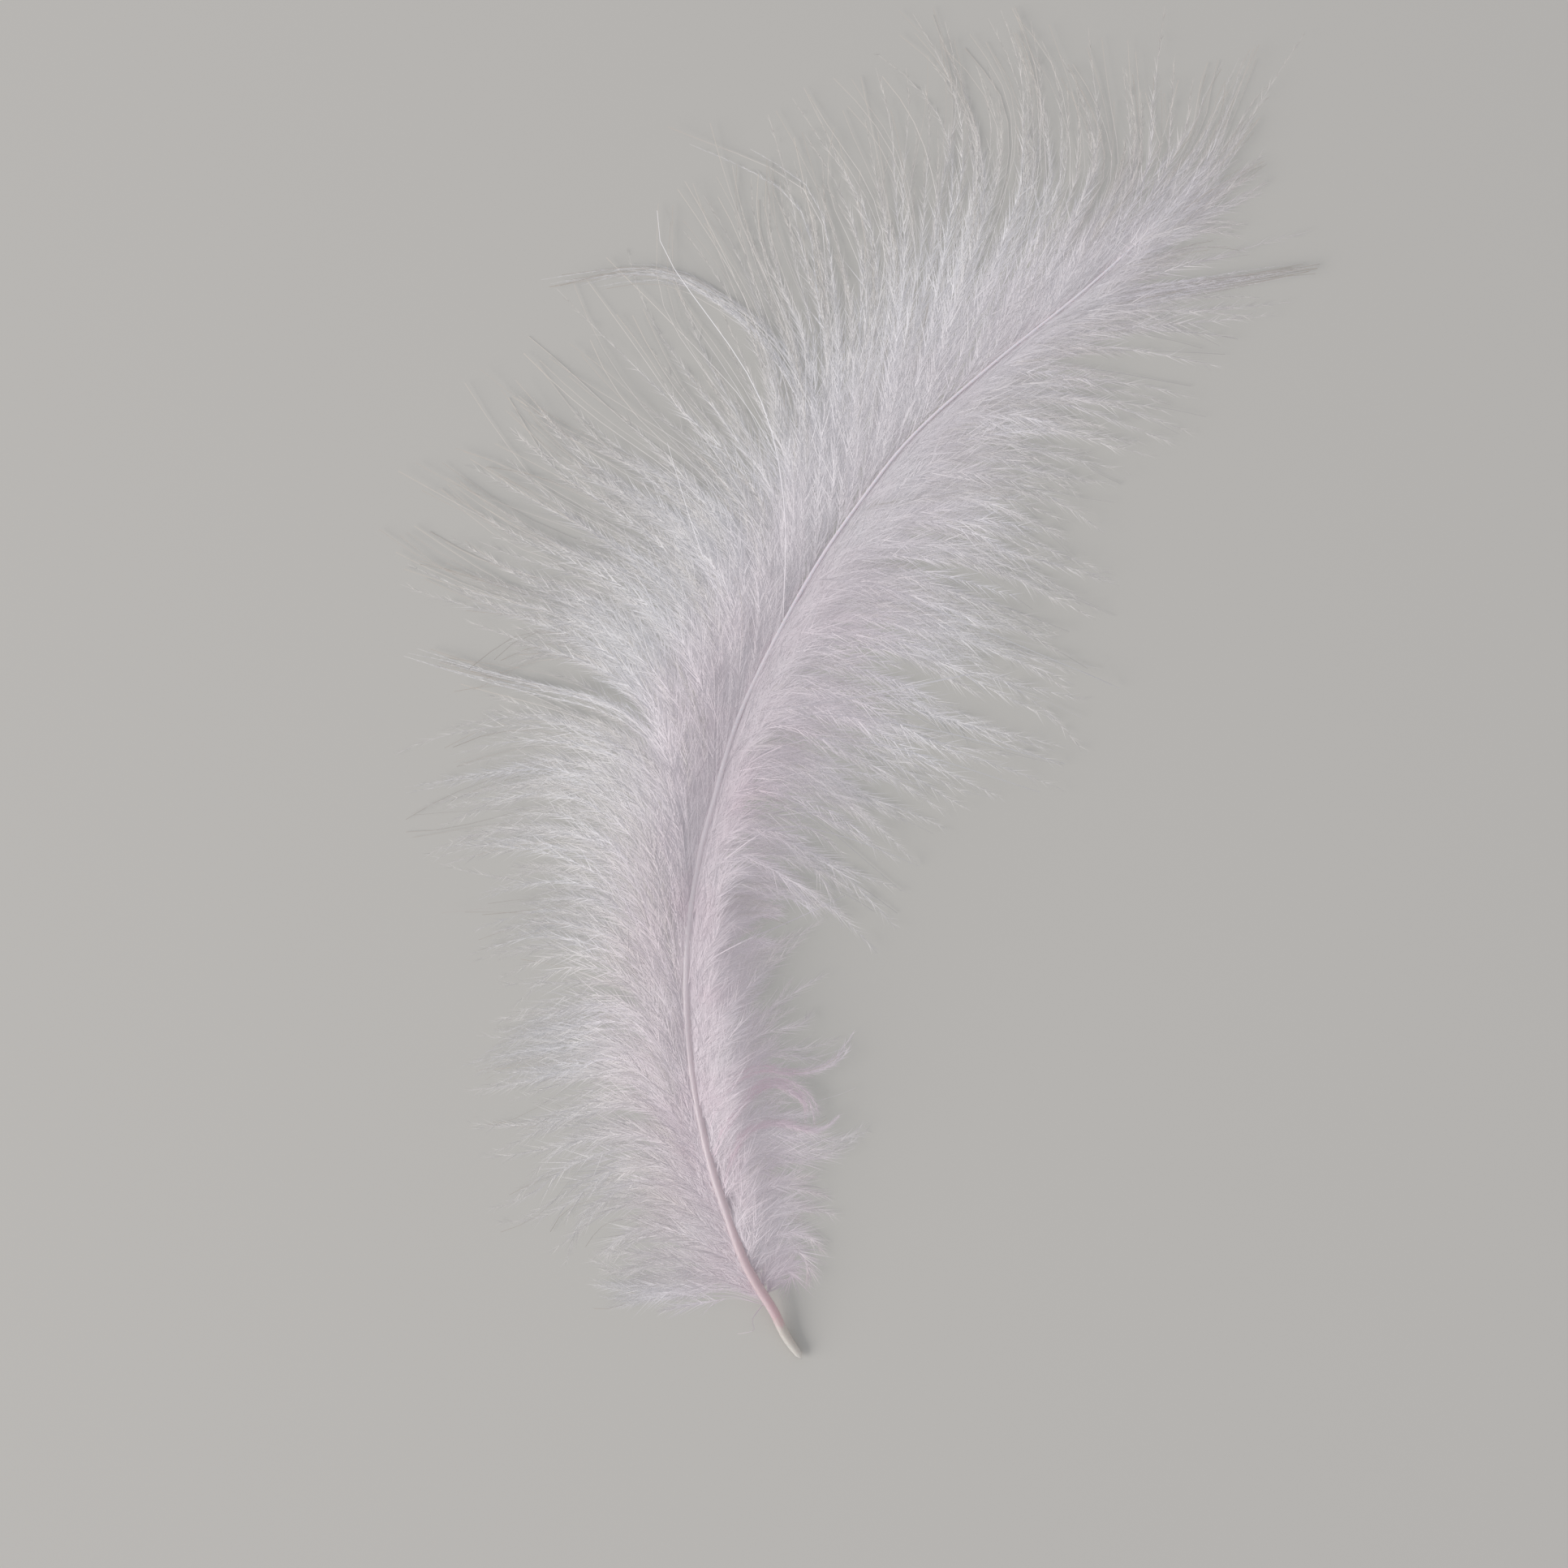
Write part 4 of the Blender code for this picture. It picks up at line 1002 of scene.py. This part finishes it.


# ---------------------------------------------------------------- the feather

# What a region's habit says. Lengths are millimetres, angles radians, and places along a barb
# go from 0 at the shaft to 1 at its tip.
#   locks, hand: the locks that its barbs follow, and their side of the shaft, -1 on the left
#   barbs, hairs, barbules: how many fluffy barbs, long bare barbs and barbules it has
#   slide: how far down the shaft the roots slide from the locks' own roots
#   apart: whether a barb keeps to one lock, or may lie anywhere between two
#   clump, cross: how far barbs draw in to a lock's line, and how many go to the next lock's
#   spread: the share of a lock's width that the barbs are scattered over
#   sway, stray, raised: how far barbs waver, leave their line, and arch over the others
#   length, short, short_share: the shares of its line that a barb keeps, and that a short one
#       keeps, and how many are short
#   down_from, down_to, rooted: where on a barb the barbules start and stop, and a power that
#       crowds them towards the tip when it is under 1, and towards the root when it is over 1
#   down_length, down_fade: their full length, and between which places they shorten
#   angle: between barbule and barb, at the barb's root and at its tip
#   bare, hair_bare: where a fluffy or a long barb starts to turn to horn, and how far it turns
#   stout, bright, deep: how thick fibres are, how bright the dullest is in the painted shade,
#       and so how much sheen is painted on, and added pink
#   shading, shaded_from: how many of the barbules cast shadows, and where on a barb they start

# What all regions of down have in common, where a region doesn't say otherwise.
COMMON_HABIT = dict(
    cross=0.0, apart=False, raised=0.0, bright=0.0, stout=1.0, deep=0.0, short_share=0.35,
    short=(0.3, 0.7), down_from=0.02, down_to=0.98, shaded_from=0.4, hair_bare=(0.4, 0.9))

# Long bare barbs lie among the fluffy ones and gather in the locks' pointed tips. Where locks
# lie apart, theirs keep the region's own habit.
HAIR_HABIT = dict(
    clump=0.95, cross=0.45, spread=0.5, stray=0.28, length=(0.85, 1.0), short_share=0.1)

FIRST_SEED = 100             # of the random numbers, one more for each region
REGIONS = {
    "left_low": dict(
        locks=LEFT_LOCKS[:13], hand=-1, barbs=175, hairs=20, barbules=28500, slide=5.0,
        clump=0.30, spread=0.55, sway=0.6, stray=0.9, length=(0.7, 1.0), rooted=1.1,
        down_fade=(0.65, 1.05), down_length=3.0, angle=(0.38, 0.34), bare=(0.1, 0.6),
        stout=1.15, shading=0.03, shaded_from=0.5),
    "left_high": dict(
        locks=LEFT_LOCKS[12:], hand=-1, barbs=165, hairs=85, barbules=36300, slide=6.0,
        cross=0.2, clump=0.45, spread=0.6, sway=0.5, stray=1.0, length=(0.5, 0.9),
        short=(0.25, 0.6), rooted=1.0, down_fade=(0.55, 1.1), down_length=3.0,
        angle=(0.44, 0.34), bare=(0.5, 0.7), stout=1.3, shading=0.08, shaded_from=0.5),
    "crown": dict(
        locks=LEFT_LOCKS[-1:] + TOP_LOCKS, hand=-1, barbs=170, hairs=95, barbules=31300,
        cross=0.1, slide=5.0, clump=0.50, spread=0.4, sway=0.35, stray=1.0, length=(0.6, 1.0),
        short=(0.35, 0.75), rooted=0.95, down_fade=(0.45, 1.0), down_length=2.8,
        angle=(0.42, 0.20), bare=(0.4, 0.9), stout=1.15, shading=0.10, shaded_from=0.5),
    "right_high": dict(
        locks=RIGHT_LOCKS[:14], hand=1, barbs=180, hairs=36, barbules=27500, slide=4.5,
        cross=0.1, clump=0.3, spread=0.5, sway=0.30, stray=0.8, length=(0.6, 1.0),
        short=(0.35, 0.65), short_share=0.3, rooted=0.85, down_fade=(0.6, 1.1),
        down_length=2.9, angle=(0.46, 0.26), bare=(0.4, 0.6), hair_bare=(0.7, 0.4),
        stout=1.15, shading=0.15, shaded_from=0.5),
    "right_low": dict(
        locks=RIGHT_LOCKS[13:], hand=1, barbs=180, hairs=36, barbules=29000, slide=4.0,
        cross=0.1, clump=0.2, spread=0.6, sway=0.30, stray=0.7, length=(0.65, 1.0),
        short=(0.35, 0.65), short_share=0.3, rooted=0.85, down_fade=(0.65, 1.1),
        down_length=2.9, angle=(0.46, 0.28), bare=(0.5, 0.5), hair_bare=(0.7, 0.3),
        stout=1.1, shading=0.09, shaded_from=0.5),
    "right_foot": dict(
        locks=RIGHT_LOCKS[24:], hand=1, barbs=150, hairs=0, barbules=15500, slide=1.0,
        cross=0.1, clump=0.1, spread=0.9, sway=0.30, stray=0.5, length=(0.40, 0.8),
        short=(0.25, 0.5), rooted=1.0, down_fade=(0.7, 1.05), down_length=2.5,
        angle=(0.60, 0.45), bare=(0.8, 0.3), stout=1.15, shading=0.0),
    "right_band": dict(
        locks=RIGHT_LOCKS[5:28], hand=1, barbs=130, hairs=0, barbules=17000, slide=2.5,
        cross=0.0, clump=0.1, spread=1.0, sway=0.20, stray=0.9, length=(0.4, 0.75),
        short=(0.25, 0.4), rooted=0.8, down_fade=(0.75, 1.1), down_length=2.6,
        angle=(0.50, 0.40), bare=(0.9, 0.2), stout=1.15, shading=0.03),
    "folds": dict(
        locks=FOLDS, hand=1, barbs=33, hairs=3, barbules=3800, slide=0.0, apart=True,
        clump=0.2, spread=1.0, sway=0.2, stray=0.3, length=(0.6, 1.0), short=(0.4, 0.6),
        rooted=0.9, down_from=0.2, down_fade=(0.8, 1.1), down_length=2.2,
        angle=(0.50, 0.35), bare=(0.9, 0.1), shading=0.03, shaded_from=0.5, raised=0.2),
    "fans": dict(
        locks=FANS, hand=-1, barbs=126, hairs=0, barbules=6000, slide=0.0, apart=True,
        clump=0.4, spread=0.8, sway=0.15, stray=0.35, length=(0.8, 1.0), short=(0.65, 0.8),
        rooted=0.9, down_from=0.45, down_to=1.0, down_fade=(0.75, 1.1), down_length=1.8,
        angle=(0.30, 0.22), bare=(0.9, 0.1), shading=0.4, shaded_from=0.5, raised=0.6,
        # a painted sheen: the fans' fibres are drawn lighter than the others
        bright=0.4),
    "plumes": dict(
        locks=LEFT_LOCKS[12:4:-1] + LEFT_LOCKS[:1], hand=-1, barbs=63, hairs=18, barbules=5400,
        slide=5.0, apart=True, clump=0.85, spread=0.6, sway=0.35, stray=0.25,
        length=(0.85, 1.0), short=(0.6, 0.8), rooted=0.9, down_from=0.35,
        down_fade=(0.75, 1.05), down_length=2.2, angle=(0.40, 0.30), bare=(0.6, 0.5),
        hair_bare=(0.5, 0.7), shading=0.3, shaded_from=0.6, raised=0.4),
    "straight": dict(
        locks=STRAIGHT_BARBS, hand=-1, barbs=0, hairs=7, barbules=0, slide=0.0, apart=True,
        clump=0.0, spread=0.2, sway=0.05, stray=0.05, length=(0.95, 1.0), raised=1.8,
        # a painted highlight: these barbs are drawn lighter than the other long ones
        hair_bare=(0.8, 0.2), stout=1.5, bright=0.9),
    "loose": dict(
        locks=LOOSE_LOCKS, hand=-1, barbs=18, hairs=14, barbules=2700, slide=3.5, apart=True,
        clump=0.85, spread=0.4, sway=0.3, stray=0.15, length=(0.8, 1.0), short=(0.5, 0.8),
        short_share=0.1, rooted=0.8, down_from=0.4, down_fade=(0.7, 1.05), down_length=1.2,
        angle=(0.3, 0.15), bare=(0.3, 0.4), shading=0.4, stout=1.25, bright=0.3),
    "curls": dict(
        locks=CURLS, hand=1, barbs=15, hairs=3, barbules=2600, slide=0.0, apart=True,
        clump=0.6, spread=0.6, sway=0.1, stray=0.1, length=(0.85, 1.0), short=(0.6, 0.8),
        short_share=0.2, rooted=0.9, down_from=0.25, down_to=1.0, down_fade=(0.8, 1.1),
        down_length=1.3, angle=(0.4, 0.25), bare=(0.9, 0.1), shading=0.3, shaded_from=0.5,
        raised=0.9, bright=0.6, deep=0.4),
    "pointed": dict(
        locks=RIGHT_LOCKS[3:4], hand=1, barbs=14, hairs=16, barbules=2400, slide=3.0,
        apart=True, clump=0.9, spread=0.5, sway=0.15, stray=0.05, length=(0.9, 1.0),
        short=(0.6, 0.8), short_share=0.1, rooted=0.9, down_from=0.1, down_fade=(0.5, 0.95),
        down_length=1.4, angle=(0.35, 0.2), bare=(0.7, 0.6), shading=0.4, shaded_from=0.3,
        raised=0.4, stout=1.25, bright=0.2),
    "tip": dict(
        locks=TOP_LOCKS[17:] + RIGHT_LOCKS[:3], hand=1, barbs=35, hairs=35, barbules=3600,
        slide=5.0, apart=True, clump=0.9, spread=0.6, sway=0.15, stray=0.15,
        length=(0.85, 1.0), short=(0.6, 0.8), rooted=0.9, down_from=0.05,
        down_fade=(0.55, 0.95), down_length=1.8, angle=(0.35, 0.2), bare=(0.5, 0.7),
        shading=0.2, shaded_from=0.3, raised=0.3),
    "straight_right": dict(
        locks=STRAIGHT_BARBS_RIGHT, hand=1, barbs=0, hairs=9, barbules=0, slide=0.0, apart=True,
        clump=0.0, spread=0.2, sway=0.05, stray=0.05, length=(0.95, 1.0), raised=2.2,
        # a painted highlight: these barbs are drawn lighter than the other long ones
        hair_bare=(0.8, 0.2), stout=1.6, bright=0.9),
}


def let_light_by(piece, casts_shadow):
    """Real down passes light on and scatters it, where needles as coarse as these would stop it.

    So fibres take no part in the light that bounces off other things, and only some of them
    cast shadows.
    """
    piece.visible_diffuse = False
    piece.visible_shadow = casts_shadow


def build_region(name, region, random, down, hair):
    """A region's barbs with their barbules, and the long bare barbs among them."""
    if region["barbs"]:
        paths = grow_barbs(random, region, region["barbs"])
        shading = round(region["shading"] * region["barbules"])
        rest = region["barbules"] - shading
        if shading:
            beneath = region | dict(down_from=region["shaded_from"])
            under = down_piece("under_down_" + name, random, paths, beneath, shading, down)
            let_light_by(under, casts_shadow=True)
        barbs = barb_piece("barbs_" + name, random, paths, region, BARB_RADIUS, down)
        let_light_by(barbs, casts_shadow=False)
        barbules = down_piece("down_" + name, random, paths, region, rest, down)
        let_light_by(barbules, casts_shadow=False)
    if region["hairs"]:
        stiff = region if region["apart"] else region | HAIR_HABIT
        stiff = stiff | dict(bare=region["hair_bare"])
        paths = grow_barbs(random, stiff, region["hairs"])
        hairs = barb_piece("hairs_" + name, random, paths, stiff, HAIR_RADIUS, hair)
        let_light_by(hairs, casts_shadow=True)


def build_feather():
    """The shaft, and every region with its own run of random numbers."""
    down = down_material("turkey_down_dyed_pale_pink", DOWN_SHADES, DOWN_TIP)
    hair = down_material("turkey_barb_keratin_dyed", HAIR_SHADES, HAIR_TIP)
    shaft_piece(shaft_material())
    for number, (name, own_habit) in enumerate(REGIONS.items()):
        random = np.random.default_rng(FIRST_SEED + number)
        build_region(name, COMMON_HABIT | own_habit, random, down, hair)


build_feather()
build_stage()
